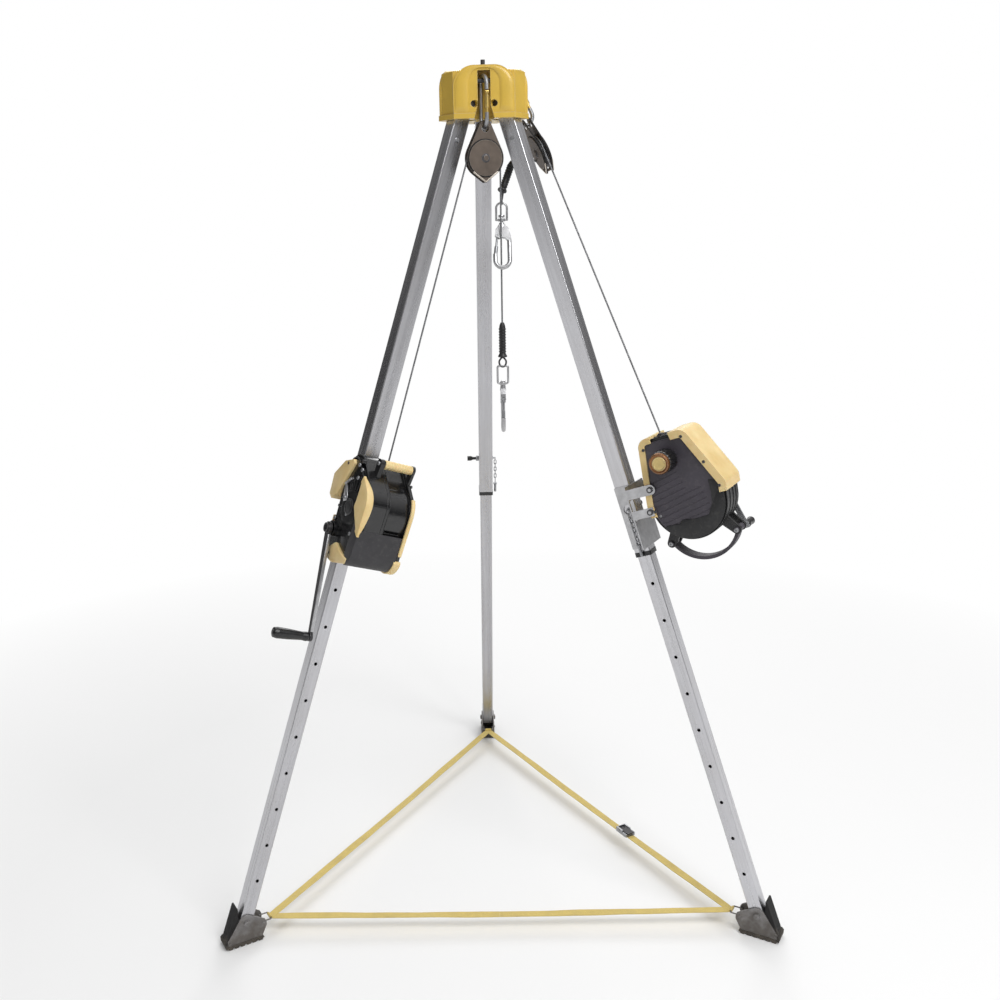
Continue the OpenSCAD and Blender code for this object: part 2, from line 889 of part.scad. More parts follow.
// crank side shell: flat flange, a raised ribbed panel, axle bosses and screw bosses
module winch_crank_shell() {
  color(black_moulding)
    leg_frame(left_az)
      difference() {
        union() {
          yz_plate(split_x + 0.2, case_x1 - 14)
            winch_outline(0);
          yz_plate(case_x1 - 14.5, case_x1 - 4)
            winch_outline(-9);
          at_drum(0)
            x_cyl(case_x1 - 5, case_x1 + 1, 46);
          at_crank(0)
            x_cyl(case_x1 - 5, case_x1 + 9, 22);
          for (i = [0 : 5])
            at_drum(0)
              rotate([20 + i * 26, 0, 0])
                translate([case_x1 - 5, -3, 44])
                  cube([5, 6, 26]);
          for (p = winch_screws)
            translate([0, p[0], p[1]])
              x_cyl(case_x1 - 15, case_x1 - 2, 7);
        }
        winch_room();
        at_drum(0)
          x_cyl(gear_x, case_x1 - 2, drum_axle_r + hinge_fit);
        at_crank(0)
          x_cyl(gear_x, case_x1 + 12, crank_shaft_r + hinge_fit);
        for (p = winch_screws)
          translate([0, p[0], p[1]])
            x_cyl(case_x1 - 4, case_x1, 3);
      }
}

winch_screws = [[70, -1020], [118, -1004], [184, -1070], [194, -1150], [180, -1232], [120, -1262], [66, -1262]];
drum_axle_r = 10;
crank_shaft_r = 8;

// drum side shell: a barrel bulging between two flanges, with a block for the rope's way out
module winch_drum_shell() {
  color(black_moulding)
    leg_frame(left_az)
      difference() {
        union() {
          yz_plate(split_x - 8, split_x)
            winch_outline(0);
          yz_plate(case_x0 + 6, case_x0 + 14)
            winch_outline(-2);
          yz_plate(case_x0, case_x0 + 6.5)
            winch_outline(-10);
          yz_plate(case_x0 + 13, split_x - 7)
            winch_outline(-12);
          at_drum(0)
            x_cyl(case_x0 + 10, split_x - 4, drum_space + 5);
        }
        winch_room();
        at_drum(0)
          x_cyl(case_x0 - 1, case_x0 + shell_t + 1, drum_axle_r + hinge_fit);
      }
}

// bumper band: the rim of one flange between two directions seen from the drum
module bumper(x0, x1, a0, a1, grow, seat) {
  intersection() {
    yz_plate(x0, x1)
      difference() {
        winch_outline(grow);
        winch_outline(seat);
      }
    yz_plate(x0 - 1, x1 + 1)
      translate([drum_y, drum_z])
        polygon([[0, 0], 260 * [cos(a0), sin(a0)], 260 * [cos((a0 + a1) / 2), sin((a0 + a1) / 2)],
                 260 * [cos(a1), sin(a1)]]);
  }
}

module winch_bumpers() {
  color(amber)
    leg_frame(left_az) {
      bumper(42, 74, 128, 172, 7, 0.3);
      bumper(30, 74, -22, 52, 9, 0.3);
      bumper(36, 76, 206, 252, 6, 0.3);
      bumper(case_x0 + 6, case_x0 + 14, -48, 38, 6, -1.7);
      bumper(case_x0 + 6, case_x0 + 14, 282, 306, 6, -1.7);
    }
}

// handle bar over the top of the winch, between two lugs
bar_y = 150;
bar_z = -996;
module winch_carry_bar() {
  leg_frame(left_az) {
    color(amber)
      translate([0, bar_y, bar_z])
        x_cyl(case_x0 + 13, 29, 10);
    color(black_moulding)
      for (seat = [[case_x0 + 6, 8, -1.7], [28, 12, 0.3]])
        yz_plate(seat[0], seat[0] + seat[1])
          difference() {
            hull() {
              translate([bar_y, bar_z])
                circle(13);
              translate([bar_y - 6, bar_z - 42])
                circle(9);
            }
            winch_outline(seat[2]);
          }
  }
}

// plate on the leg with a clamp round the tube and two stand-off pads
module winch_mount() {
  t = 4;
  y0 = outer_half;
  color(steel)
    leg_frame(left_az)
      difference() {
        union() {
          translate([-34, y0, -1240])
            cube([68, t, 240]);
          for (z = [-1228, -1036])
            translate([-outer_half - t - 0.2, -outer_half - t - 0.2, z]) {
              cube([t, outer_w + t + 0.4, 28]);
              translate([outer_w + t + 0.4, 0, 0])
                cube([t, outer_w + t + 0.4, 28]);
              cube([outer_w + 2 * t + 0.4, t, 28]);
            }
          translate([-20, y0 + t - 1, -1222])
            cube([40, 38.6 - y0 - t, 26]);
        }
        translate([0, 0, -lock_s])
          y_cyl(outer_half - 1, outer_half + 60, bush_r + 1);
      }
}

// crank: pinion and shaft inside, arm and grip spindle outside
arm_x = case_x1 + 12;
crank_tilt = atan2(60, 295);
module at_arm() {
  at_crank(arm_x)
    rotate([crank_tilt, 0, 0])
      children();
}

module winch_crank() {
  leg_frame(left_az) {
    color(steel) {
      at_crank(0)
        x_cyl(gear_x, arm_x + 10, crank_shaft_r);
      at_crank(gear_x)
        rotate([90, 0, 90])
          rotate([0, 0, crank_angle + 180 + 180 / pinion_teeth])
            linear_extrude(gear_t)
              difference() {
                polygon(gear_points(gear_module, pinion_teeth, gear_lash));
                circle(crank_shaft_r);
              }
    }
    color(dark_steel)
      at_arm()
        difference() {
          union() {
            yz_plate(0, 8)
              union() {
                circle(17);
                translate([0, -crank_len])
                  circle(12);
                polygon([[-11, 0], [-7, -crank_len], [7, -crank_len], [11, 0]]);
              }
            x_cyl(0, 14, 13);
          }
          x_cyl(-1, 15, crank_shaft_r);
        }
    color(steel)
      at_arm()
        translate([0, 0, -crank_len])
          x_cyl(-2, 116, 5);
  }
}

module winch_crank_grip() {
  color(black_moulding)
    leg_frame(left_az)
      at_arm()
        translate([9, 0, -crank_len])
          rotate([0, 90, 0])
            rotate_extrude()
              polygon([[5 + hinge_fit, 0], [11, 0], [13, 6], [11.5, 20], [14.5, 60], [15.5, 92], [13.5, 103],
                       [9, 105], [5 + hinge_fit, 105]]);
}

// drum with flanges, gear ring and axle
module winch_drum() {
  leg_frame(left_az) {
    color(steel)
      at_drum(0) {
        x_cyl(case_x0 + 1, case_x1 - 3, drum_axle_r);
        difference() {
          union() {
            x_cyl(case_x0 + shell_t + 2, case_x0 + shell_t + 5, drum_space - 6);
            x_cyl(gear_x - 6, gear_x - 2, drum_space - 6);
            x_cyl(case_x0 + shell_t + 4, gear_x - 5, drum_r - rope_d / 2 - 0.3);
          }
          x_cyl(case_x0, gear_x, drum_axle_r);
        }
      }
    color(dark_steel)
      at_drum(gear_x)
        rotate([90, 0, 90])
          rotate([0, 0, crank_angle])
            linear_extrude(gear_t)
              difference() {
                polygon(gear_points(gear_module, gear_teeth, gear_lash));
                circle(drum_axle_r);
              }
  }
}

// the winch rope: out of the case, up to the front pulley and over it
outlet = [-26, lead_y, -983];
function leg_point(az, p) =
  let (x = p[0] * cos(lean) - p[2] * sin(lean), z = p[0] * sin(lean) + p[2] * cos(lean))
  [(hinge_r + x) * cos(az) - p[1] * sin(az), (hinge_r + x) * sin(az) + p[1] * cos(az), hinge_h + z];
function front_point(x, z) = front_hole + [x * cos(front_yaw), x * sin(front_yaw), z];
function wrap_start(x, z) = 360 + atan2(z, x) - acos(groove_r / norm([x, z]));
front_centre = front_point(sheave_shift, -hole_to_sheave);
winch_out = leg_point(left_az, outlet);
front_d = winch_out - front_centre;
front_wrap = wrap_start(front_d[0] * cos(front_yaw) + front_d[1] * sin(front_yaw), front_d[2]);
front_start = front_point(sheave_shift + groove_r * cos(front_wrap), -hole_to_sheave + groove_r * sin(front_wrap));
drop_top = front_point(sheave_shift + groove_r, -hole_to_sheave);
drop_x = drop_top[0];
drop_y = drop_top[1];
sleeve_len = 98;
module winch_line() {
  color(rope_grey) {
    bar(winch_out - 0.1 * (front_start - winch_out), front_start, rope_d / 2);
    front_pulley_frame()
      translate([sheave_shift, 0, -hole_to_sheave])
        xz_arc(groove_r, rope_d / 2, 0.4, front_wrap - 0.8);
  }
}

module winch_drop_line() {
  color(rope_grey)
    bar([drop_x, drop_y, winch_sleeve_z + sleeve_len + seat_gap], drop_top - [0, 0, 0.4], rope_d / 2);
}

// sleeve, thimble and square swivel eye; z = 0 at the sleeve's lower end
thimble_len = 30;
eye_len = 56;
eye_w = 36;
module rope_sleeve() {
  difference() {
    rotate_extrude()
      polygon([[0, 0], [13, 0], [13, 4], [9.5, 8], [9, 12], [9, 80], [8, 90], [5, sleeve_len], [0, sleeve_len]]);
    for (z = [16 : 8 : 76])
      translate([0, 0, z])
        rotate_extrude()
          translate([9.6, 0])
            circle(1.2, $fn = 16);
  }
}

module thimble() {
  xz_plate(-3, 3)
    difference() {
      union() {
        translate([0, -thimble_len + 10])
          circle(10);
        polygon([[-10, -thimble_len + 10], [-4, 0], [4, 0], [10, -thimble_len + 10]]);
      }
      translate([0, -thimble_len + 10])
        circle(6.4);
    }
}

module square_eye(hole_r) {
  w = eye_w / 2 - 3;
  z0 = -thimble_len + 4.2;
  z1 = z0 - eye_len + 6;
  for (s = [-1, 1])
    bar([s * w, 0, z1], [s * w, 0, z0], 3);
  bar([-w, 0, z0], [w, 0, z0], 3);
  for (s = [-1, 1])
    translate([s * w, 0, z0])
      sphere(3, $fn = 24);
  for (s = [-1, 1])
    translate([s * w, 0, z1])
      sphere(3, $fn = 24);
  difference() {
    translate([0, 0, z1 - 4])
      cylinder(h = 8, r = 9);
    translate([0, 0, z1 - 5])
      cylinder(h = 10, r = hole_r);
  }
  for (s = [-1, 1])
    bar([s * w, 0, z1], [s * 7, 0, z1], 3);
}

hook_swivel_z = -thimble_len + 4.2 - eye_len + 6 - 4;
module winch_hook_eye() {
  translate([drop_x, drop_y, winch_sleeve_z]) {
    color(black_moulding)
      rope_sleeve();
    color(dark_steel)
      thimble();
    color(steel)
      square_eye(post_r + hinge_fit);
  }
}

// snap hook in the local x-z plane, hanging from its swivel post; z = 0 under the eye
post_r = 4.5;
bow_r = 20;
bow_z = -112;
wire_r = 6;
gate_top = [-13, -40];
gate_low = [-bow_r, -92];
module hook_body(slack) {
  difference() {
    union() {
      translate([0, 0, -12])
        cylinder(h = 21 + slack, r = post_r - slack * 0.15);
      translate([0, 0, 8.3 + slack])
        cylinder(h = 4, r = 7 + slack * 0.4);
      translate([0, 0, -16 - slack])
        cylinder(h = 15.6, r1 = 9, r2 = 7);
      xz_plate(-7, 7)
        polygon([[-8, -10], [8, -10], [20, -24], [25, -44], [25, -56], [15, -56], [8, -48], [-3, -46],
                 [-8, -50], [-20, -42], [-18, -24]]);
    }
    translate([gate_top[0], 0, gate_top[1]])
      y_cyl(-8, 8, 2 + hinge_fit);
    translate([-24, -3.4, -52])
      cube([20, 6.8, 18]);
  }
  bar([bow_r, 0, -50], [bow_r, 0, bow_z], wire_r);
  translate([0, 0, bow_z])
    xz_arc(bow_r, wire_r, 180, 180);
  translate([-bow_r, 0, bow_z])
    cylinder(h = -bow_z + gate_low[1] - 1, r = wire_r);
}

module hook_gate() {
  translate([gate_top[0], 0, gate_top[1]]) {
    y_cyl(-8, 8, 2);
    difference() {
      y_cyl(-3, 3, 5.5);
      y_cyl(-4, 4, 2);
    }
  }
  bar([gate_top[0] - 0.6, 0, gate_top[1] - 4], [gate_low[0] + 1, 0, gate_low[1]], 3);
  bar([gate_low[0] + 3.5, 0, gate_low[1] + 20], [gate_low[0] + 1, 0, gate_low[1]], 5);
}

module winch_hook_frame() {
  translate([drop_x, drop_y, winch_sleeve_z + hook_swivel_z])
    rotate([0, 0, 90])
      children();
}

module winch_hook() {
  color(steel)
    winch_hook_frame()
      hook_body(0);
}

module winch_hook_gate() {
  color(dark_steel)
    winch_hook_frame()
      hook_gate();
}

// lifeline unit in the right leg's frame: outline in x and z, grown by e
unit_x = 185;
unit_z = -1172;
module unit_outline(e) {
  hull() {
    translate([124, -1008])
      circle(20 + e, $fn = 32);
    translate([214, -1010])
      circle(22 + e, $fn = 32);
    translate([276, -1146])
      circle(20 + e, $fn = 32);
    translate([unit_x, unit_z])
      circle(unit_r + e, $fn = 96);
  }
}

face_t = 8;
unit_front = -unit_t / 2;
unit_back = unit_t / 2;
unit_axle_r = 9;
knob_x = 165;
knob_z = -1050;
ucrank_x = 262;
ucrank_z = -1218;

// grooved face plate, with the collar for the pull knob
module unit_face_plate() {
  color(slate_moulding)
    leg_frame(right_az)
      difference() {
        union() {
          xz_plate(unit_front, unit_front + face_t)
            unit_outline(-8);
          translate([knob_x, 0, knob_z])
            y_cyl(unit_front - 14, unit_front + 1, 24);
        }
        for (i = [0 : 9])
          translate([unit_x, 0, unit_z])
            rotate([0, -12, 0])
              translate([-96, unit_front - 0.1, -62 + i * 16])
                cube([i < 6 ? 150 : 110, 1.3, 4]);
        translate([knob_x, 0, knob_z])
          y_cyl(unit_front - 15, unit_front + 9, 10 + hinge_fit);
        for (p = unit_face_screws)
          translate([p[0], 0, p[1]])
            y_cyl(unit_front - 1, unit_front + 3, 4);
        unit_bolt_hole();
      }
}

unit_face_screws = [[100, -1196], [185, -1266], [262, -1216]];
unit_bolt = [96, -1118];
module unit_bolt_hole() {
  translate([unit_bolt[0], 0, unit_bolt[1]])
    y_cyl(unit_front - 10, unit_front + 20, 5 + hinge_fit);
}

// rounded case behind the face plate, with lugs for the handle and a rope outlet
unit_outlet = [158, -30, -990];
module unit_case() {
  color(black_moulding)
    leg_frame(right_az)
      difference() {
        union() {
          xz_plate(unit_front + face_t, unit_back - 10)
            unit_outline(0);
          xz_plate(unit_back - 10.5, unit_back)
            unit_outline(-12);
          for (p = handle_ends, s = [0, 1])
            mirror([0, s, 0])
              xz_plate(18, 26)
                hull() {
                  translate(p)
                    circle(12);
                  translate([p[0] + (unit_x - p[0]) * 0.35, p[1] + 44])
                    circle(16);
                }
          translate([unit_outlet[0], unit_outlet[1], unit_outlet[2] - 6])
            cylinder(h = 14, r = 11);
        }
        translate([unit_x, 0, unit_z + 6])
          y_cyl(unit_front + face_t + 4, unit_back - 14, 84);
        translate([unit_x, 0, unit_z + 6])
          y_cyl(unit_front + face_t - 1, unit_back - 4, unit_axle_r + hinge_fit);
        translate([knob_x, 0, knob_z])
          y_cyl(unit_front + face_t - 1, unit_front + face_t + 16, 10 + hinge_fit);
        translate([ucrank_x, 0, ucrank_z])
          y_cyl(unit_back - 9, unit_back + 1, 8 + hinge_fit);
        translate([unit_outlet[0], unit_outlet[1], unit_outlet[2] - 120])
          cylinder(h = 160, r = rope_d / 2 + 1.5);
        for (p = handle_ends)
          translate([p[0], 0, p[1]])
            y_cyl(-27, 27, handle_pin_r + hinge_fit);
        unit_bolt_hole();
      }
}

// guard halves: rim bands with a lap on the face
module unit_guard_zone(points, y0, y1, lap) {
  intersection() {
    union() {
      xz_plate(y0, y1)
        difference() {
          unit_outline(7);
          unit_outline(0.3);
        }
      xz_plate(y0 - 4, y0)
        difference() {
          unit_outline(7);
          unit_outline(-lap);
        }
    }
    xz_plate(y0 - 10, y1 + 10)
      polygon(points);
  }
}

module unit_guards() {
  y0 = unit_front - 0.3;
  color(amber)
    leg_frame(right_az)
      difference() {
        union() {
          unit_guard_zone([[200, -1060], [186, -960], [380, -960], [380, -1168], [250, -1168]], y0, unit_back, 14);
          unit_guard_zone([[132, -960], [140, -1030], [120, -1060], [110, -1196], [40, -1196], [40, -960]],
                          y0, unit_back, 10);
        }
        translate([unit_outlet[0], unit_outlet[1], -1000])
          cylinder(h = 60, r = 16);
        for (p = [[222, -1000], [262, -1080], [284, -1150], [110, -1010], [96, -1120], [92, -1180]])
          translate([p[0], 0, p[1]])
            y_cyl(y0 - 6, y0 - 2.5, 3);
        unit_bolt_hole();
      }
}

// bracket on the right leg: plate on the tube, wing, and four arms that hold the unit
module unit_bracket() {
  t = 4;
  xf = outer_half;
  y_arm = unit_front - 4.3 - t;
  color(steel)
    leg_frame(right_az) {
      difference() {
        union() {
          translate([-xf, -xf - t, -1276])
            cube([outer_w + t, t, 180]);
          translate([xf, y_arm, -1276])
            cube([t, 2 * (-y_arm), 180]);
        }
        translate([0, 0, -lock_s])
          y_cyl(-xf - 5, -xf + 1, 14);
        translate([0, 0, -lock_s - 56])
          cube([13, 60, 116], center = true);
        translate([xf - 1, unit_front - 2, -1196])
          cube([6, 2 * (-unit_front) + 4, 60]);
      }
      for (s = [0, 1])
        mirror([0, s, 0]) {
          difference() {
            union() {
              translate([xf, y_arm, -1132])
                cube([96 - xf, t, 28]);
              translate([unit_bolt[0], 0, unit_bolt[1]])
                y_cyl(y_arm, y_arm + t, 14);
              translate([xf, y_arm, -1190])
                cube([74 - xf + 14, t, 24]);
            }
            translate([unit_bolt[0], 0, unit_bolt[1]])
              y_cyl(y_arm - 1, y_arm + t + 1, 5);
          }
          translate([unit_bolt[0], 0, unit_bolt[1]])
            y_cyl(y_arm - 3, unit_front + (s == 0 ? 6 : 0), 5);
          translate([unit_bolt[0], 0, unit_bolt[1]])
            y_hex(y_arm - 5, y_arm, 15);
          translate([78, 0, -1178])
            y_hex(y_arm - 5, y_arm, 13);
        }
    }
}

// bent carrying handle under the unit
handle_ends = [[93, -1282], [281, -1282]];
handle_c = [187, -1240];
handle_pin_r = 5;
module unit_handle() {
  d = handle_ends[1] - handle_c;
  a0 = atan2(d[1], d[0]);
  color(slate_moulding)
    leg_frame(right_az) {
      translate([handle_c[0], 0, handle_c[1]])
        rotate([90, 0, 0])
          rotate([0, 0, 180 - a0])
            rotate_extrude(angle = 180 + 2 * a0, $fn = 96)
              translate([norm(d), 0])
                square([9, 33], center = true);
      for (p = handle_ends)
        translate([p[0], 0, p[1]]) {
          y_cyl(-28, 28, handle_pin_r);
          y_cyl(-17, 17, 9.5);
          y_cyl(-29.5, -26.3, 8);
          y_cyl(26.3, 29.5, 8);
        }
    }
}

// pull knob that engages the retrieval crank
module unit_knob() {
  leg_frame(right_az)
    translate([knob_x, 0, knob_z]) {
      color(black_moulding) {
        y_cyl(unit_front - 52, unit_front + 12, 10);
        y_cyl(unit_front - 52, unit_front - 34, 17);
      }
      color(amber)
        y_cyl(unit_front - 66, unit_front - 51, 24);
    }
}

// retrieval crank on the unit's back
ucrank_len = 74;
module unit_crank() {
  color(steel)
    leg_frame(right_az)
      translate([ucrank_x, 0, ucrank_z]) {
        y_cyl(unit_back - 8, unit_back + 12, 8);
        xz_plate(unit_back + 3, unit_back + 9)
          union() {
            circle(13);
            rotate([0, 0, 12])
              translate([-7, -ucrank_len])
                square([14, ucrank_len]);
            rotate([0, 0, 12])
              translate([0, -ucrank_len])
                circle(9);
          }
        rotate([0, -12, 0])
          translate([0, 0, -ucrank_len])
            y_cyl(unit_back + 3, unit_back + 62, 4);
      }
}

module unit_crank_grip() {
  color(black_moulding)
    leg_frame(right_az)
      translate([ucrank_x, 0, ucrank_z])
        rotate([0, -12, 0])
          translate([0, unit_back + 10, -ucrank_len])
            rotate([-90, 0, 0])
              rotate_extrude()
                polygon([[4 + hinge_fit, 0], [9, 0], [11, 5], [10, 20], [11.5, 42], [9, 49], [4 + hinge_fit, 49]]);
}

// lifeline drum inside the unit
unit_drum_r = 60;
module unit_drum() {
  color(steel)
    leg_frame(right_az)
      translate([unit_x, 0, unit_z + 6]) {
        y_cyl(unit_front + face_t + 0.5, unit_back - 5, unit_axle_r);
        difference() {
          union() {
            y_cyl(-34, 34, unit_drum_r);
            y_cyl(-38, -34, 80);
            y_cyl(34, 38, 80);
          }
          y_cyl(-39, 39, unit_axle_r);
        }
      }
}

// the lifeline: up from the unit, over the rear pulley, and in a slack bend down to its sleeve
function turn_z(p, a) = [p[0] * cos(a) - p[1] * sin(a), p[0] * sin(a) + p[1] * cos(a), p[2]];
function turn_y(p, a) = [p[0] * cos(a) + p[2] * sin(a), p[1], -p[0] * sin(a) + p[2] * cos(a)];
function rear_point(x, y, z) = rear_bar + turn_z(turn_y(turn_z([x, y, z - hang_len], rear_turn), rear_tilt), rear_yaw);
function rear_local(p) = turn_z(turn_y(turn_z(p - rear_bar, -rear_yaw), -rear_tilt), -rear_turn) + [0, 0, hang_len];
unit_out = leg_point(right_az, [unit_outlet[0], unit_outlet[1], unit_outlet[2] + 8 + seat_gap]);
unit_far = rear_local(unit_out) - [sheave_shift, 0, -hole_to_sheave];
rear_wrap = wrap_start(unit_far[0], unit_far[2]);
rear_end_a = 10;
function rear_rim(a) = rear_point(sheave_shift + groove_r * cos(a), 0, -hole_to_sheave + groove_r * sin(a));
rear_start = rear_rim(rear_wrap);
rear_end = rear_rim(rear_end_a);
rear_leave = rear_point(sin(rear_end_a), 0, -cos(rear_end_a)) - rear_point(0, 0, 0);
life_sleeve_low = [46.7, -46, 2098];
life_sleeve_top = [79.7, -1, 2181];
life_up = (life_sleeve_top - life_sleeve_low) / norm(life_sleeve_top - life_sleeve_low);
function bend(t, a, b, c, d) = pow(1 - t, 3) * a + 3 * pow(1 - t, 2) * t * b + 3 * (1 - t) * t * t * c + pow(t, 3) * d;
module lifeline() {
  color(rope_grey) {
    bar(unit_out, rear_start, rope_d / 2);
    rear_pulley_frame()
      translate([sheave_shift, 0, -hole_to_sheave])
        xz_arc(groove_r, rope_d / 2, rear_end_a, rear_wrap - rear_end_a - 0.4);
  }
}

// end of the lifeline: the slack bend, its sleeve and its thimble
life_steps = 8;
module lifeline_drop() {
  a = rear_end + 26 * rear_leave;
  b = a + 42 * rear_leave;
  d = life_sleeve_top - 0.4 * life_up;
  c = d + 60 * life_up;
  points = [for (i = [0 : life_steps]) bend(i / life_steps, a, b, c, d)];
  color(rope_grey) {
    bar(rear_end + 0.4 * rear_leave, a, rope_d / 2);
    for (i = [0 : life_steps - 1])
      bar(points[i], points[i + 1], rope_d / 2);
    for (i = [0 : life_steps - 1])
      translate(points[i])
        sphere(rope_d / 2 + 0.2, $fn = 24);
  }
  color(black_moulding)
    translate(life_sleeve_low)
      rotate([0, acos(life_up[2]), atan2(life_up[1], life_up[0])])
        rope_sleeve();
  color(dark_steel) {
    bar(life_sleeve_low, life_eye_top + [0, 0, 9.4], 4.5);
    translate(life_eye_top + [0, 0, 9.4])
      sphere(6);
  }
}

// D-shaped swivel eye behind the winch rope
life_eye_top = [44.7, -44, 2066];
life_eye_len = 52;
hook_slack = 4.4;
lean_bore = 7.4;
module lifeline_hook_eye() {
  w = eye_w / 2 - 3;
  z1 = -life_eye_len + 6;
  color(steel)
    translate(life_eye_top) {
      translate([0, 0, -w])
        xz_arc(w, 3, 0, 180);
      for (s = [-1, 1]) {
        bar([s * w, 0, z1], [s * w, 0, -w], 3);
        translate([s * w, 0, z1])
          sphere(3.2, $fn = 24);
        bar([s * w, 0, z1], [s * 7.5, 0, z1], 3);
      }
      translate([0, 0, z1 - 4])
        difference() {
          cylinder(h = 8, r = 10);
          translate([0, 0, -1])
            cylinder(h = 10, r = lean_bore);
        }
    }
}

// the hook leans so that the winch rope passes in front of its back and behind its bow
hook_lean = 20;
module lifeline_hook_frame() {
  translate([life_eye_top[0], life_eye_top[1], life_eye_top[2] - life_eye_len + 2])
    rotate([-hook_lean, 0, 0])
      children();
}

module lifeline_hook() {
  color(steel)
    lifeline_hook_frame()
      hook_body(hook_slack);
}

module lifeline_hook_gate() {
  color(dark_steel)
    lifeline_hook_frame()
      hook_gate();
}

head_casting();
head_bolts();
upper_leg(left_az, 1);  // left_upper_leg
upper_leg(right_az, 0);  // right_upper_leg
upper_leg(back_az, 0);  // back_upper_leg
lower_leg(left_az);  // left_lower_leg
lower_leg(right_az);  // right_lower_leg
lower_leg(back_az);  // back_lower_leg
lock_fittings(left_az, 1, 24);  // left_lock_fittings
lock_fittings(right_az, 0, 0);  // right_lock_fittings
lock_fittings(back_az, 0, 0);  // back_lock_fittings
lock_plunger(left_az, 1);  // left_lock_plunger
lock_plunger(right_az, 0);  // right_lock_plunger
lock_plunger(back_az, 0);  // back_lock_plunger
foot_bracket(left_az);  // left_foot_bracket
foot_bracket(right_az);  // right_foot_bracket
foot_bracket(back_az);  // back_foot_bracket
sole(left_az);  // left_sole
sole(right_az);  // right_sole
sole(back_az);  // back_sole
strap(left_az);  // left_strap
strap(right_az);  // right_strap
strap(back_az);  // back_strap
strap_buckle();
buckle_lever();
front_carabiner();
front_carabiner_gate();
front_pulley_plates();
front_sheave();
rear_carabiner();
rear_carabiner_gate();
rear_pulley_plates();
rear_sheave();
winch_crank_shell();
winch_drum_shell();
winch_bumpers();
winch_carry_bar();
winch_mount();
winch_crank();
winch_crank_grip();
winch_drum();
winch_line();
winch_drop_line();
winch_hook_eye();
winch_hook();
winch_hook_gate();
unit_face_plate();
unit_case();
unit_guards();
unit_bracket();
unit_handle();
unit_knob();
unit_crank();
unit_crank_grip();
unit_drum();
lifeline();
lifeline_drop();
lifeline_hook_eye();
lifeline_hook();
lifeline_hook_gate();
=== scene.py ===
import random
from math import acos, atan2, cos, pi, radians, sin, sqrt

import bmesh
import bpy
from mathutils import Matrix, Vector


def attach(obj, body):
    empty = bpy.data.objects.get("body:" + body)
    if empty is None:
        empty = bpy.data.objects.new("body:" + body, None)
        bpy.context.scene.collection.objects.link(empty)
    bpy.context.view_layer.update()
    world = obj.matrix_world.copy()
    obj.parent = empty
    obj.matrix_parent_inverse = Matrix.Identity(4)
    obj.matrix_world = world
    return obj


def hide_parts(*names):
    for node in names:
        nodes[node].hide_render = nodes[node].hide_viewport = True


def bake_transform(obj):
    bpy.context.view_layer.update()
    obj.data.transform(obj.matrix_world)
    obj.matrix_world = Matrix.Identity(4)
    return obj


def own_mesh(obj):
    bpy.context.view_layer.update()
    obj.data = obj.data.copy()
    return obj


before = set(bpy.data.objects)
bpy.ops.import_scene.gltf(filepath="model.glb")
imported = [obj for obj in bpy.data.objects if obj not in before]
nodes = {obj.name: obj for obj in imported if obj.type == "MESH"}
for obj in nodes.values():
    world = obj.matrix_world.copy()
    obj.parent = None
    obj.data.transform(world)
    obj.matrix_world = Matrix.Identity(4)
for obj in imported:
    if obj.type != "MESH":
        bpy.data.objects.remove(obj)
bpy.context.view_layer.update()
scene = bpy.context.scene
print("frame loaded,", len(nodes), "nodes")


# sizes shared with the metalwork, mm
tripod = {
    "hingeHeight": 2326, "hingeOut": 68, "footOut": 860, "pivotHeight": 70,
    "leftTurn": 210, "rightTurn": 330, "backTurn": 90,
}
legLean = atan2(tripod["footOut"] - tripod["hingeOut"], tripod["hingeHeight"] - tripod["pivotHeight"])
millimetre = Matrix.Scale(0.001, 4)
here = Matrix.Identity(4)


def turned(axis, degrees):
    return Matrix.Rotation(radians(degrees), 4, axis)


def moved(x, y, z):
    return Matrix.Translation((x, y, z))


def legPlace(turn):
    # local frame of a leg in mm: x outward, y sideways, z up the tube, origin on the hinge bolt
    tilt = Matrix.Rotation(-legLean, 4, "Y")
    return turned("Z", turn) @ moved(tripod["hingeOut"], 0, tripod["hingeHeight"]) @ tilt


# shader maths
class Value:
    # a node socket that can be used in ordinary sums
    def __init__(self, shade, socket):
        self.shade = shade
        self.socket = socket

    def sum(self, operation, *numbers):
        return self.shade.add("ShaderNodeMath", {"operation": operation}, dict(enumerate(numbers)))

    def __add__(self, other):
        return self.sum("ADD", self, other)

    def __radd__(self, other):
        return self.sum("ADD", other, self)

    def __sub__(self, other):
        return self.sum("SUBTRACT", self, other)

    def __mul__(self, other):
        return self.sum("MULTIPLY", self, other)

    def wave(self):
        return self.sum("SINE", self)

    def size(self):
        return self.sum("ABSOLUTE", self)

    def held(self):
        return self.shade.add("ShaderNodeClamp", {}, {0: self, 1: 0.0, 2: 1.0})


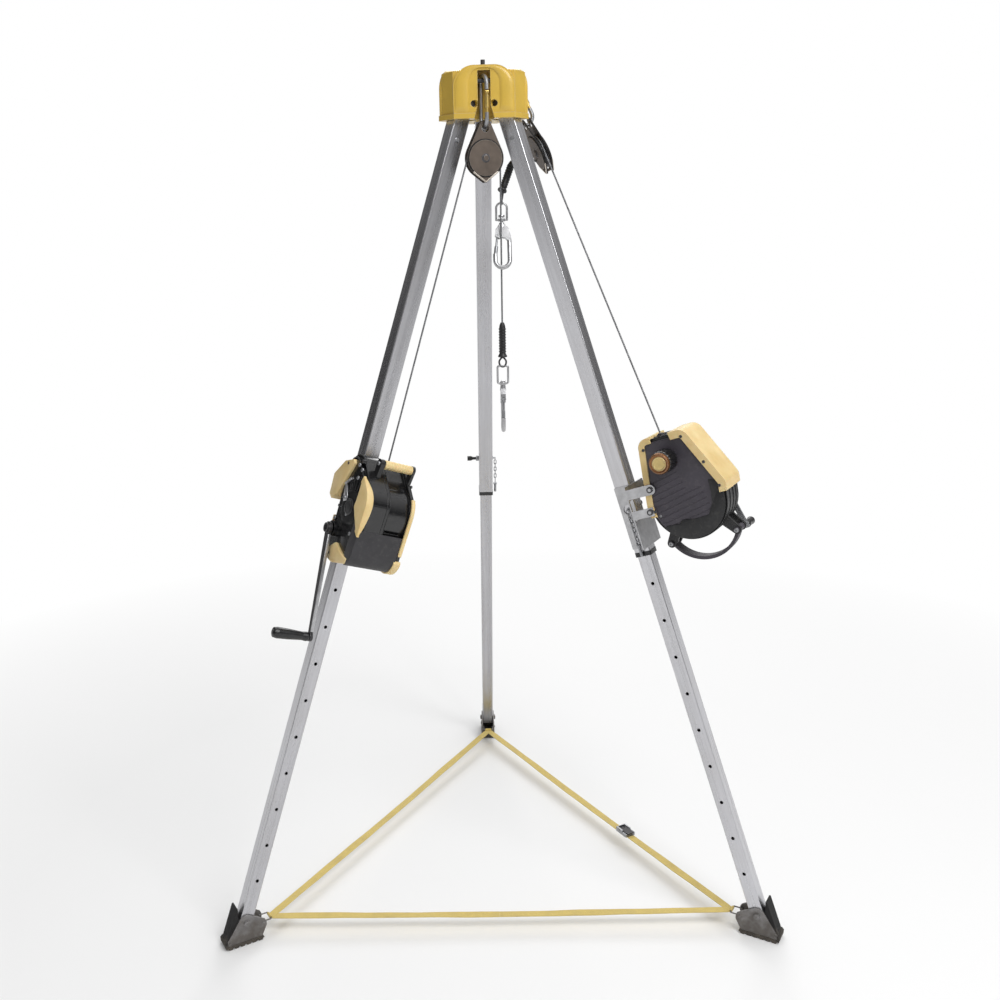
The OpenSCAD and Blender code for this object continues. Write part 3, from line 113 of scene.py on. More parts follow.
class Shade:
    # a node tree, with one method for any node
    def __init__(self, tree):
        self.tree = tree

    def add(self, kind, settings, inputs, output=0):
        made = self.tree.nodes.new(kind)
        for key, value in settings.items():
            setattr(made, key, value)
        for key, value in inputs.items():
            if isinstance(value, Value):
                self.tree.links.new(value.socket, made.inputs[key])
            else:
                made.inputs[key].default_value = value
        if isinstance(output, tuple):
            return [Value(self, made.outputs[o]) for o in output]
        return Value(self, made.outputs[output])

    def parts(self, vector):
        return self.add("ShaderNodeSeparateXYZ", {}, {0: vector}, (0, 1, 2))

    def spread(self, value, low, high, newLow=0.0, newHigh=1.0):
        return self.add("ShaderNodeMapRange", {"clamp": True},
                        {0: value, 1: low, 2: high, 3: newLow, 4: newHigh})

    def surface(self, outlet, amount, first, second):
        # two shaders mixed into the tree's own output node
        mixed = self.add("ShaderNodeMixShader", {}, {0: amount, 1: first, 2: second})
        self.tree.links.new(mixed.socket, self.tree.nodes[outlet].inputs["Surface"])


class Finish(Shade):
    # one material: a Principled shader with helpers for the nodes in front of it
    def __init__(self, name, **constants):
        self.material = bpy.data.materials.new(name)
        self.material.use_nodes = True
        super().__init__(self.material.node_tree)
        self.shader = self.tree.nodes["Principled BSDF"]
        for socket, value in constants.items():
            self.shader.inputs[socket.replace("_", " ")].default_value = value

    def feed(self, socket, value):
        self.tree.links.new(value.socket, self.shader.inputs[socket])

    def place(self):
        return self.add("ShaderNodeTexCoord", {}, {}, "Object")

    def strip(self):
        # across and along a ribbon or rope, from its UV map
        return self.parts(self.add("ShaderNodeUVMap", {"uv_map": "run"}, {}))[:2]

    def stretched(self, vector, axes, scales):
        # the place measured along three directions, each at its own scale
        found = [self.add("ShaderNodeVectorMath", {"operation": "DOT_PRODUCT"}, {0: vector, 1: tuple(a)}, "Value")
                 for a in axes]
        return self.add("ShaderNodeCombineXYZ", {}, {i: f * s for i, (f, s) in enumerate(zip(found, scales))})

    def noise(self, vector, scale, detail=3.0, roughness=0.55):
        return self.add("ShaderNodeTexNoise", {},
                        {"Vector": vector, "Scale": scale, "Detail": detail, "Roughness": roughness})

    def blendColour(self, amount, first, second):
        return self.add("ShaderNodeMix", {"data_type": "RGBA"},
                        {0: amount, 6: colourOf(first), 7: colourOf(second)}, 2)

    def worn(self, radius):
        # 0 on flats, rising towards 1 on outward and inward edges
        soft = self.add("ShaderNodeBevel", {"samples": 4}, {"Radius": radius})
        plain = self.add("ShaderNodeNewGeometry", {}, {}, "Normal")
        along = self.add("ShaderNodeVectorMath", {"operation": "DOT_PRODUCT"}, {0: soft, 1: plain}, "Value")
        return self.spread(along, 0.995, 0.86)

    def finished(self, colour, rough, height, distance, strength, edge=0.0):
        # edge is the radius by which a bevel shader rounds the corners
        self.feed("Base Color", colour)
        self.feed("Roughness", rough)
        inputs = {"Height": height, "Distance": distance, "Strength": strength}
        if edge:
            inputs["Normal"] = self.add("ShaderNodeBevel", {"samples": 4}, {"Radius": edge})
        self.feed("Normal", self.add("ShaderNodeBump", {}, inputs))
        return self.material


def colourOf(value):
    return value if isinstance(value, Value) else (*value[:3], 1.0)


def tint(red, green, blue):
    # a colour as it shows on screen, given in 0 to 255
    def straight(c):
        c /= 255
        return c / 12.92 if c <= 0.04045 else ((c + 0.055) / 1.055) ** 2.4
    return (straight(red), straight(green), straight(blue))


def darker(colour, amount):
    return tuple(c * amount for c in colour)


# finishes
def headPaint():
    base = tint(216, 180, 74)
    f = Finish("headPaint", Specular_IOR_Level=0.5, Coat_Weight=0.35, Coat_Roughness=0.12)
    place = f.place()
    cloud = f.noise(place, 9.0, 4.0)
    speck = f.noise(place, 420.0, 2.0)
    edge = f.worn(0.0022)
    rub = f.spread(f.noise(place, 60.0, 5.0) * 0.6 + edge * 0.62, 0.72, 0.86)
    paint = f.blendColour(f.spread(cloud, 0.3, 0.7), darker(base, 0.84), base)
    paint = f.blendColour(f.spread(speck, 0.62, 0.74, 0.0, 0.35), paint, darker(base, 0.62))
    return f.finished(f.blendColour(rub, paint, tint(198, 186, 150)),
                      0.30 + f.noise(place, 30.0) * 0.16 + rub * 0.14,
                      f.noise(place, 330.0, 2.0) * 0.7 + f.noise(place, 36.0, 2.0) * 1.4, 0.00035, 0.55, 0.0022)


def legAlloy(name, turn, paintedLegShade):
    # extruded and anodised tube: fine lines down its length, handling marks, soft streaks, and on the left and back
    # legs an even painted shade
    lean = legPlace(turn).to_3x3()
    axes = [lean @ Vector(v) for v in ((1, 0, 0), (0, 1, 0), (0, 0, 1))]
    f = Finish(name, Metallic=0.92, Specular_IOR_Level=0.4)
    place = f.place()
    fine = f.noise(f.stretched(place, axes, (900, 900, 9)), 1.0, 3.0)
    streak = f.noise(f.stretched(place, axes, (70, 70, 1.6)), 1.0, 4.0)
    cloud = f.noise(place, 5.0, 3.0)
    scuff = f.spread(f.noise(f.stretched(place, axes, (130, 130, 60)), 1.0, 6.0, 0.7), 0.62, 0.74)
    base = tint(214, 214, 218)
    colour = f.blendColour(f.spread(streak, 0.32, 0.7), darker(base, 0.80), base)
    colour = f.blendColour(f.spread(fine, 0.35, 0.75, 0.0, 0.5), colour, darker(base, 0.66))
    colour = f.blendColour(f.spread(cloud, 0.35, 0.75, 0.0, 0.35), colour, tint(184, 181, 180))
    colour = f.blendColour(scuff * 0.4, colour, tint(128, 124, 122))
    # painted shade: the whole leg's colour is pulled towards dark grey by this amount
    if paintedLegShade:
        colour = f.blendColour(paintedLegShade, colour, tint(92, 92, 96))
    return f.finished(colour, 0.21 + streak * 0.14 + scuff * 0.2, fine + scuff * 0.5, 0.00012, 0.5, 0.001)


def bareSteel(name, shade, rough, grain, wear):
    # machined or plated steel: cloudy plating, small scratches, dark pits
    f = Finish(name, Metallic=0.92)
    place = f.place()
    cloud = f.noise(place, 46.0, 5.0)
    scratch = f.noise(f.stretched(place, (Vector((1, 0.3, 0.2)), Vector((-0.2, 1, 0.4)), Vector((0, -0.3, 1))),
                                  (grain, grain * 0.12, grain * 0.35)), 1.0, 3.0)
    pit = f.spread(f.noise(place, 700.0, 2.0), 0.68, 0.78)
    base = tint(*shade)
    colour = f.blendColour(f.spread(cloud, 0.35, 0.7), darker(base, 0.72), base)
    colour = f.blendColour(f.worn(0.0012) * wear, colour, tint(222, 222, 224))
    return f.finished(f.blendColour(pit * 0.4, colour, darker(base, 0.3)),
                      rough + cloud * 0.18 + scratch * 0.08,
                      scratch + cloud * 0.6, 0.00012, 0.6, 0.0007)


def castBracket():
    # cast and shot-blasted foot bracket with muddy hollows
    f = Finish("castBracket", Metallic=0.7)
    place = f.place()
    lump = f.noise(place, 160.0, 4.0)
    cloud = f.noise(place, 26.0, 4.0)
    low = f.parts(place)[2]
    mud = f.spread(f.noise(place, 44.0, 5.0) - low * 4.2, 0.02, 0.42)
    base = tint(158, 156, 156)
    colour = f.blendColour(f.spread(cloud, 0.3, 0.7), darker(base, 0.62), base)
    colour = f.blendColour(f.worn(0.0016) * 0.5, colour, tint(214, 214, 214))
    return f.finished(f.blendColour(mud * 0.6, colour, tint(96, 88, 78)),
                      0.42 + cloud * 0.2 + mud * 0.2,
                      lump + cloud, 0.0005, 0.5, 0.001)


def pulleyPlate():
    # bronze anodised side plate, brushed round and rubbed at its rim
    f = Finish("pulleyPlate", Metallic=0.55, Specular_IOR_Level=0.4)
    place = f.place()
    cloud = f.noise(place, 34.0, 5.0)
    fine = f.noise(place, 900.0, 2.0)
    base = tint(98, 88, 80)
    rub = f.spread(f.noise(place, 90.0, 5.0) * 0.55 + f.worn(0.0016) * 0.7, 0.66, 0.9)
    colour = f.blendColour(f.spread(cloud, 0.3, 0.7), darker(base, 0.74), darker(base, 1.12))
    colour = f.blendColour(f.spread(fine, 0.5, 0.8, 0.0, 0.4), colour, darker(base, 0.5))
    return f.finished(f.blendColour(rub, colour, tint(178, 170, 160)),
                      0.46 + cloud * 0.16,
                      fine * 0.5 + cloud, 0.0002, 0.5, 0.0008)


def moulding(name, shade, rough, grain, gloss, dust, edge):
    # moulded plastic: fine spark-eroded grain, faint flow clouds, dust, edges polished by handling
    f = Finish(name, Specular_IOR_Level=gloss)
    place = f.place()
    cloud = f.noise(place, 20.0, 4.0)
    grainy = f.add("ShaderNodeTexVoronoi", {}, {"Vector": place, "Scale": grain})
    rub = f.worn(edge * 1.6)
    base = tint(*shade)
    colour = f.blendColour(f.spread(cloud, 0.3, 0.7), darker(base, 0.8), darker(base, 1.2))
    dusty = f.spread(f.noise(place, 75.0, 6.0, 0.7), 0.52, 0.82, 0.0, dust)
    colour = f.blendColour(dusty, colour, tint(150, 146, 138))
    return f.finished(f.blendColour(rub * 0.25, colour, darker(base, 1.9)),
                      rough + cloud * 0.14 - rub * 0.12,
                      grainy * 0.6 + f.noise(place, 260.0, 3.0), 0.00018, 0.5, edge)


def guardUrethane():
    # amber urethane: waxy and slightly see-into, with scuffs and grime at the edges
    f = Finish("guardUrethane", Specular_IOR_Level=0.45, Subsurface_Weight=0.06, Subsurface_Scale=0.004)
    place = f.place()
    cloud = f.noise(place, 14.0, 4.0)
    scuff = f.spread(f.noise(place, 120.0, 6.0, 0.72), 0.6, 0.78)
    edge = f.worn(0.002)
    colour = f.blendColour(f.spread(cloud, 0.3, 0.72), tint(218, 188, 126), tint(236, 213, 160))
    colour = f.blendColour(scuff * 0.3, colour, tint(170, 138, 76))
    return f.finished(f.blendColour(edge * 0.35, colour, tint(244, 226, 178)),
                      0.36 + cloud * 0.16 + scuff * 0.14,
                      f.noise(place, 420.0, 2.0) * 0.5 + cloud * 1.5 + scuff * 0.3, 0.0003, 0.5, 0.0018)


def soleRubber():
    f = Finish("soleRubber", Specular_IOR_Level=0.35)
    place = f.place()
    crumb = f.noise(place, 380.0, 4.0)
    low = f.parts(place)[2]
    dust = f.spread(f.noise(place, 38.0, 5.0) - low * 9.0, 0.1, 0.55)
    colour = f.blendColour(f.noise(place, 30.0, 4.0), tint(24, 24, 25), tint(46, 45, 45))
    return f.finished(f.blendColour(dust * 0.55, colour, tint(112, 104, 94)),
                      0.7 + crumb * 0.2,
                      crumb, 0.0004, 0.7, 0.0012)


def wovenWebbing():
    # polyester webbing: ribs across, a herringbone of yarns, a ribbed selvedge, and dirt
    f = Finish("wovenWebbing", Specular_IOR_Level=0.25, Sheen_Weight=0.25, Sheen_Roughness=0.5)
    across, along = f.strip()
    place = f.place()
    yarn = (across * 5200.0 + (along * 2400.0).wave() * 1.3).wave() * 0.5 + 0.5
    pick = ((along * 2900.0) + (across * 900.0).wave() * 0.9).wave() * 0.5 + 0.5
    edge = f.spread((across - 0.0125).size(), 0.0104, 0.0112)
    weave = yarn * 0.55 + pick * 0.65
    fuzz = f.noise(place, 1800.0, 3.0)
    base = tint(234, 208, 122)
    colour = f.blendColour(f.spread(weave, 0.1, 0.9), darker(base, 0.55), base)
    colour = f.blendColour(edge * 0.35, colour, darker(base, 0.7))
    dirt = f.spread(f.noise(place, 17.0, 5.0, 0.65), 0.45, 0.8)
    return f.finished(f.blendColour(dirt * 0.4, colour, tint(164, 144, 98)),
                      0.72 + fuzz * 0.18,
                      weave + fuzz * 0.35, 0.0004, 0.8)


def strandWire():
    # galvanised wire rope: the strands are modelled, the wires in each strand are drawn here
    f = Finish("strandWire", Metallic=0.85)
    across, along = f.strip()
    place = f.place()
    wire = (across * 150.0 + along * 2600.0).wave() * 0.5 + 0.5
    grime = f.spread(f.noise(place, 90.0, 5.0), 0.4, 0.75)
    base = tint(150, 151, 154)
    colour = f.blendColour(wire, darker(base, 0.45), base)
    return f.finished(f.blendColour(grime * 0.4, colour, tint(66, 62, 58)),
                      0.34 + grime * 0.22,
                      wire, 0.0002, 0.8)


finishes = {"headPaint": headPaint(), "castBracket": castBracket(), "pulleyPlate": pulleyPlate(),
            "guard": guardUrethane(), "rubber": soleRubber(), "webbing": wovenWebbing(), "wire": strandWire(),
            "steel": bareSteel("platedSteel", (168, 169, 172), 0.3, 500.0, 0.35)}
# how much painted shade darkens each leg's colour as a whole
for side, paintedLegShade in (("left", 0.1), ("right", 0.0), ("back", 0.15)):
    finishes[side + "Alloy"] = legAlloy(side + "Alloy", tripod[side + "Turn"], paintedLegShade)

# shade, roughness, grain and wear of each metal
metals = {"brightSteel": ((196, 196, 198), 0.2, 700.0, 0.5), "yellowSteel": ((206, 178, 104), 0.26, 600.0, 0.4),
          "darkSteel": ((84, 83, 85), 0.38, 420.0, 0.3), "pulleyRim": ((206, 196, 184), 0.3, 500.0, 0.4),
          "knobGold": ((222, 198, 136), 0.28, 500.0, 0.4), "knobRim": ((150, 104, 66), 0.3, 500.0, 0.5)}
# shade, roughness, grain, gloss, dust and edge radius of each plastic
plastics = {"blackMoulding": ((26, 26, 28), 0.34, 1500.0, 0.5, 0.12, 0.0011),
            "satinBlack": ((20, 20, 22), 0.24, 900.0, 0.6, 0.08, 0.0016),
            "glossBlack": ((18, 18, 20), 0.12, 700.0, 0.75, 0.06, 0.0018),
            "slateMoulding": ((62, 58, 66), 0.46, 1200.0, 0.5, 0.12, 0.0011),
            "slateBlack": ((50, 49, 52), 0.4, 1300.0, 0.5, 0.12, 0.0011)}
for make, table in ((bareSteel, metals), (moulding, plastics)):
    for name, numbers in table.items():
        finishes[name] = make(name, *numbers)
print("finishes made,", len(finishes))


# mesh helpers
def shown(name, mesh):
    piece = bpy.data.objects.new(name, mesh)
    scene.collection.objects.link(piece)
    return piece


def meshPiece(name, points, faces, finish, place, run=None):
    # run holds a place across and along for each point, in metres
    mesh = bpy.data.meshes.new(name)
    mesh.from_pydata([tuple(p) for p in points], [], faces)
    mesh.validate()
    if run:
        layer = mesh.uv_layers.new(name="run")
        for loop in mesh.loops:
            layer.data[loop.index].uv = run[loop.vertex_index]
    mesh.transform(millimetre @ place)
    mesh.materials.append(finishes[finish])
    for face in mesh.polygons:
        face.use_smooth = True
    mesh.update()
    return shown(name, mesh)


def bmeshPiece(name, bm, finish, place):
    # a bevel leaves its points and faces in an order of its own each run, so both are sorted
    corners = sorted(bm.verts, key=lambda v: v.co[:])
    number = {v: i for i, v in enumerate(corners)}
    faces = []
    for face in bm.faces:
        ring = [number[v] for v in face.verts]
        first = ring.index(min(ring))
        faces.append(ring[first:] + ring[:first])
    points = [v.co[:] for v in corners]
    bm.free()
    return meshPiece(name, points, sorted(faces), finish, place)


def skin(rings, around, closed=False):
    # faces between rings of points, with a cap on each end of an open run
    faces = []
    for i in range(rings if closed else rings - 1):
        j = (i + 1) % rings
        for k in range(around):
            m = (k + 1) % around
            faces.append((i * around + k, i * around + m, j * around + m, j * around + k))
    if not closed:
        faces.append(tuple(reversed(range(around))))
        faces.append(tuple((rings - 1) * around + k for k in range(around)))
    return faces


def hardEdges(piece, degrees, weld=False):
    bm = bmesh.new()
    bm.from_mesh(piece.data)
    if weld:
        bmesh.ops.remove_doubles(bm, verts=bm.verts, dist=0.000004)
    bmesh.ops.recalc_face_normals(bm, faces=bm.faces)
    for edge in bm.edges:
        edge.smooth = not (edge.is_manifold and edge.calc_face_angle(0) > radians(degrees))
    bm.to_mesh(piece.data)
    bm.free()
    return piece


def lathe(name, profile, finish, place, around=48):
    # profile is a list of (radius, height), turned round z
    points, faces = [], []
    count = len(profile)
    for i in range(around):
        a = 2 * pi * i / around
        points += [(r * cos(a), r * sin(a), z) for r, z in profile]
    for i in range(around):
        j = (i + 1) % around
        for k in range(count - 1):
            faces.append((i * count + k, j * count + k, j * count + k + 1, i * count + k + 1))
    if profile[0][0] > 0.01 and profile[0] != profile[-1]:
        faces.append(tuple(i * count for i in reversed(range(around))))
    if profile[-1][0] > 0.01 and profile[0] != profile[-1]:
        faces.append(tuple(i * count + count - 1 for i in range(around)))
    return hardEdges(meshPiece(name, points, faces, finish, place), degrees=32, weld=True)


def evenRun(points, step):
    # the same line with points a fixed step apart
    spots = [Vector(p) for p in points]
    lengths = [0.0]
    for a, b in zip(spots, spots[1:]):
        lengths.append(lengths[-1] + (b - a).length)
    count = max(2, round(lengths[-1] / step))
    out, k = [], 0
    for i in range(count + 1):
        s = lengths[-1] * i / count
        while k < len(spots) - 2 and lengths[k + 1] < s:
            k += 1
        gap = lengths[k + 1] - lengths[k]
        out.append(spots[k].lerp(spots[k + 1], 0 if gap == 0 else (s - lengths[k]) / gap))
    return out


def frames(points, closed=False):
    # frames that turn as little as possible along the line
    out = []
    side = None
    count = len(points)
    for i, p in enumerate(points):
        a = points[i - 1] if (i > 0 or closed) else p
        b = points[(i + 1) % count] if (i < count - 1 or closed) else p
        ahead = (b - a).normalized()
        if side is None:
            side = Vector((0, 0, 1)).cross(ahead)
            if side.length < 0.01:
                side = Vector((1, 0, 0)).cross(ahead)
        side = (side - ahead * side.dot(ahead)).normalized()
        out.append((p, side, ahead.cross(side)))
    return out


def tube(name, points, radii, finish, place, around=16, closed=False, flat=1.0):
    # a round or oval bar along a line; radii is one number or one for each point
    if not isinstance(radii, (list, tuple)):
        radii = [radii] * len(points)
    verts = []
    for (p, side, up), r in zip(frames([Vector(p) for p in points], closed), radii):
        for k in range(around):
            a = 2 * pi * k / around
            verts.append(p + side * (r * cos(a) * flat) + up * (r * sin(a)))
    return hardEdges(meshPiece(name, verts, skin(len(points), around, closed), finish, place), degrees=50)


wireRope = {"diameter": 5, "strands": 6, "lay": 32.0, "step": 1.8, "notches": (-30, -17, 0, 17), "wrap": 0.2}


def strandedRope(name, points):
    # strands laid round each other, as one closed skin
    step = wireRope["step"]
    line = evenRun(points, step)
    ring = wireRope["diameter"] / 3
    fat = wireRope["diameter"] / 6
    notches = wireRope["notches"]
    around = wireRope["strands"] * len(notches)
    verts, run = [], []
    for i, (p, side, up) in enumerate(frames(line)):
        turn = 2 * pi * i * step / wireRope["lay"]
        for k in range(around):
            off = radians(notches[k % len(notches)])
            r = ring * cos(off) + sqrt(max(0, fat * fat - (ring * sin(off)) ** 2))
            a = turn + 2 * pi * (k // len(notches)) / wireRope["strands"] + off
            verts.append(p + side * (r * cos(a)) + up * (r * sin(a)))
            run.append((wireRope["wrap"] * k / around, i * step / 1000))
    piece = meshPiece(name, verts, skin(len(line), around), "wire", here, run)
    return piece, [tuple((millimetre @ here) @ p) for p in line]


def plate(name, outline, low, high, bevel, finish, place, segments=2):
    # flat outline in x and y, from low to high, with bevelled edges
    bm = bmesh.new()
    bottom = [bm.verts.new((x, y, low)) for x, y in outline]
    face = bm.faces.new(bottom)
    grown = bmesh.ops.extrude_face_region(bm, geom=[face])
    for v in grown["geom"]:
        if isinstance(v, bmesh.types.BMVert):
            v.co.z = high
    bmesh.ops.recalc_face_normals(bm, faces=bm.faces)
    sharp = [e for e in bm.edges if e.calc_face_angle(0) > radians(40)]
    bmesh.ops.bevel(bm, geom=sharp, offset=bevel, offset_type="OFFSET", segments=segments, profile=0.5,
                    affect="EDGES", clamp_overlap=True)
    return hardEdges(bmeshPiece(name, bm, finish, place), degrees=50)


def joined(name, pieces):
    # several pieces made into one object, each keeping its finish
    bm = bmesh.new()
    used = []
    for piece in pieces:
        finish = piece.data.materials[0]
        if finish not in used:
            used.append(finish)
        start = len(bm.faces)
        bm.from_mesh(piece.data)
        bm.faces.ensure_lookup_table()
        for face in bm.faces[start:]:
            face.material_index = used.index(finish)
        bpy.data.objects.remove(piece)
    mesh = bpy.data.meshes.new(name)
    bm.to_mesh(mesh)
    bm.free()
    for finish in used:
        mesh.materials.append(finish)
    return shown(name, mesh)


def dress(piece, body, slot, *replaced):
    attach(piece, body)
    if replaced:
        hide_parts(*replaced)
    return piece


def arcPoints(centre, radius, start, sweep, count, place=None):
    # points of an arc in the x-z plane
    out = []
    for i in range(count + 1):
        a = radians(start + sweep * i / count)
        p = Vector((centre[0] + radius * cos(a), centre[1], centre[2] + radius * sin(a)))
        out.append(place @ p if place is not None else p)
    return out


# finishes of the metalwork
nodeFinish = {
    "head_casting": "headPaint",
    "head_bolts": "darkSteel",
    "front_carabiner": "steel", "rear_carabiner": "steel",
    "front_carabiner_gate": "yellowSteel", "rear_carabiner_gate": "yellowSteel",
    "front_pulley_plates": "pulleyPlate", "rear_pulley_plates": "pulleyPlate",
    "front_sheave": "darkSteel", "rear_sheave": "darkSteel",
    "winch_crank_shell": "glossBlack", "winch_drum_shell": "glossBlack", "winch_carry_bar": "satinBlack",
    "winch_mount": "darkSteel", "winch_crank_grip": "satinBlack", "winch_drum": "steel",
    "winch_hook": "brightSteel", "winch_hook_gate": "steel",
    "unit_face_plate": "slateMoulding", "unit_case": "blackMoulding", "unit_guards": "guard",
    "unit_bracket": "brightSteel", "unit_handle": "slateMoulding",
    "unit_crank": "steel", "unit_crank_grip": "satinBlack", "unit_drum": "steel",
    "lifeline_hook_eye": "brightSteel", "lifeline_hook": "brightSteel", "lifeline_hook_gate": "steel",
    "strap_buckle": "steel", "buckle_lever": "darkSteel",
}
for side in ("left", "right", "back"):
    nodeFinish[side + "_upper_leg"] = side + "Alloy"
    nodeFinish[side + "_lower_leg"] = side + "Alloy"
    nodeFinish[side + "_sole"] = "rubber"
    nodeFinish[side + "_foot_bracket"] = "castBracket"

# nodes with two finishes keep them apart by the colour the node's own faces carry
mixedFinish = {
    "head_paint": "headPaint", "leg_alloy": "leftAlloy", "steel": "steel", "brass_steel": "yellowSteel",
    "dark_steel": "darkSteel", "pulley_plate": "pulleyPlate", "rope": "wire", "case_black": "blackMoulding",
    "case_grey": "slateMoulding", "guard_yellow": "guard", "sole_rubber": "rubber", "webbing": "webbing",
}
for name, node in nodes.items():
    for spot in node.material_slots:
        own = spot.material.name.split(".")[0] if spot.material else ""
        spot.material = finishes[nodeFinish.get(name, mixedFinish.get(own, "steel"))]
print("metalwork finished")


# head: a raised horseshoe round each slot, as the casting swells there
arch = {"azimuths": (270, 30, 150), "face": 92, "low": 2288, "foot": 16, "sunk": 0.4,
        "outer": (80, 133, 54), "inner": (41, 127, 36), "straightSteps": 12, "cornerSteps": 16,
        "swell": ((0, -0.4), (0.04, 1.1), (0.12, 2.6), (0.3, 3.8), (0.55, 4.1), (0.75, 3.6), (0.88, 2.4), (0.96, 1.0),
                  (1, -0.4))}


def archPath(half, top, corner):
    # up one side, over the top and down the other, as (sideways, up)
    steps, rounds = arch["straightSteps"], arch["cornerSteps"]
    rise = top - corner - arch["foot"]
    points = [(-half, arch["foot"] + rise * i / steps) for i in range(steps)]
    for i in range(rounds + 1):
        a = pi / 2 * i / rounds
        points.append((-half + corner - corner * cos(a), top - corner + corner * sin(a)))
    return points + [(-x, z) for x, z in reversed(points)]


for azimuth in arch["azimuths"]:
    verts, faces = [], []
    rows = list(zip(archPath(*arch["outer"]), archPath(*arch["inner"])))
    for i, (far, near) in enumerate(rows):
        ends = min(1.0, min(i, len(rows) - 1 - i) / 2)
        for t, rise in arch["swell"]:
            y, z = (a + (b - a) * t for a, b in zip(far, near))
            verts.append((arch["face"] - arch["sunk"] + (rise + arch["sunk"]) * ends, y, arch["low"] + z))
    wide = len(arch["swell"])
    for i in range(len(rows) - 1):
        a, b = i * wide, (i + 1) * wide
        faces += [(a + k, a + k + 1, b + k + 1, b + k) for k in range(wide - 1)]
    swelling = meshPiece("headArch%d" % azimuth, verts, faces, "headPaint", turned("Z", azimuth))
    dress(swelling, "head", "head_paint")
print("head swellings made")


# the two pulleys' lines
lines = {
    "grooveRadius": 46, "anchorOut": 84, "anchorHeight": 2384, "hang": 121.3,
    "frontYaw": 18, "frontBarX": -1, "holeToSheave": 78, "sheaveShift": -1,
    "rearYaw": 177.96, "rearTilt": 25.76, "rearTurn": -78, "rearEnd": 10,
    "winchOutlet": (-26, 77, -983), "unitOutlet": (158, -30, -981.7), "sleeveLow": 1640,
    "lifeSleeveLow": (46.7, -46, 2098), "lifeSleeveTop": (79.7, -1, 2181), "lifeEyeTop": (44.7, -44, 2066),
    "sleeveLength": 98, "tuck": 6, "barAngle": 30, "wrapSteps": 60,
}
frontHole = Vector((lines["frontBarX"], -lines["anchorOut"], lines["anchorHeight"] - lines["hang"]))
frontPulley = Matrix.Translation(frontHole) @ turned("Z", lines["frontYaw"])
barAngle = radians(lines["barAngle"])
rearBar = Vector((lines["anchorOut"] * cos(barAngle), lines["anchorOut"] * sin(barAngle), lines["anchorHeight"]))
rearPulley = (Matrix.Translation(rearBar) @ turned("Z", lines["rearYaw"]) @ turned("Y", lines["rearTilt"])
              @ turned("Z", lines["rearTurn"]) @ moved(0, 0, -lines["hang"]))
sheaveCentre = Vector((lines["sheaveShift"], 0, -lines["holeToSheave"]))


def wrapStart(x, z):
    return 360 + atan2(z, x) * 180 / pi - acos(lines["grooveRadius"] / sqrt(x * x + z * z)) * 180 / pi


def overPulley(place, outside, endAngle):
    # from a point outside, straight to the sheave and round it to endAngle
    far = place.inverted() @ outside - sheaveCentre
    start = wrapStart(far.x, far.z)
    wrap = arcPoints(sheaveCentre, lines["grooveRadius"], start, endAngle - start, lines["wrapSteps"], place)
    return [outside] + wrap


def layRope(name, points, ends, replaced):
    # steel wire rope laid along the points
    rope, path = strandedRope(name, points)
    start, end = (tuple(p * 0.001) for p in ends)
    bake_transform(rope)
    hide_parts(replaced)


winchOut = legPlace(tripod["leftTurn"]) @ Vector(lines["winchOutlet"])
points = overPulley(frontPulley, winchOut, 0)
points[0] = winchOut - (points[1] - winchOut) * 0.1
layRope("winchLine", points, (points[1], winchOut), "winch_line")

dropTop = frontPulley @ (sheaveCentre + Vector((lines["grooveRadius"], 0, 0)))
sleeveTop = Vector((dropTop.x, dropTop.y, lines["sleeveLow"] + lines["sleeveLength"]))
points = [dropTop, sleeveTop - Vector((0, 0, lines["tuck"]))]
layRope("dropLine", points, (dropTop, sleeveTop), "winch_drop_line")

unitOut = legPlace(tripod["rightTurn"]) @ Vector(lines["unitOutlet"])
points = overPulley(rearPulley, unitOut, lines["rearEnd"])
points[0] = unitOut - (points[1] - unitOut).normalized() * 20
layRope("lifeLine", points, (points[1], unitOut), "lifeline")

# the slack bend of the lifeline between its pulley and its sleeve
slack = {"straight": 26, "leave": 42, "arrive": 60, "steps": 40}
endTurn = radians(lines["rearEnd"])
leaveWay = (rearPulley.to_3x3() @ Vector((sin(endTurn), 0, -cos(endTurn)))).normalized()
lifeLow = Vector(lines["lifeSleeveLow"])
lifeTop = Vector(lines["lifeSleeveTop"])
lifeUp = (lifeTop - lifeLow).normalized()
bendStart = points[-1] + leaveWay * slack["straight"]
handles = [bendStart, bendStart + leaveWay * slack["leave"], lifeTop + lifeUp * slack["arrive"], lifeTop]
bendPath = [points[-1]]
for i in range(slack["steps"] + 1):
    t = i / slack["steps"]
    bendPath.append(handles[0] * (1 - t) ** 3 + handles[1] * 3 * t * (1 - t) ** 2
                    + handles[2] * 3 * t * t * (1 - t) + handles[3] * t ** 3)
bendPath.append(lifeTop - lifeUp * lines["tuck"])
layRope("slackBend", bendPath, (bendPath[0], lifeTop), "lifeline_drop")
print("ropes laid")

# sleeves: ribbed rubber over the swaged end, with a metal thimble below
sleeve = {"foot": [(0, 0), (12.2, 0), (13, 0.8), (13, 3.2), (12.2, 4.4), (10.2, 7.6), (9, 11)],
          "rib": ((0, 0), (0.8, 1.2), (1, 2.4), (0.8, 3.6), (0, 4.8)), "ribs": 9, "ribPitch": 8, "ribHeight": 1.7,
          "radius": 9, "ribsFrom": 13, "top": [(8.6, 86), (7.6, 91), (5.2, 97), (4.4, 98), (0, 98)]}
rings = list(sleeve["foot"])
for i in range(sleeve["ribs"]):
    z = sleeve["ribsFrom"] + i * sleeve["ribPitch"]
    rings += [(sleeve["radius"] + sleeve["ribHeight"] * out, z + up) for out, up in sleeve["rib"]]
rings += sleeve["top"]


thimble = {"steps": 48, "pinch": 0.42, "rise": 0.25, "long": 1.35, "wire": 2.6, "flat": 1.35}


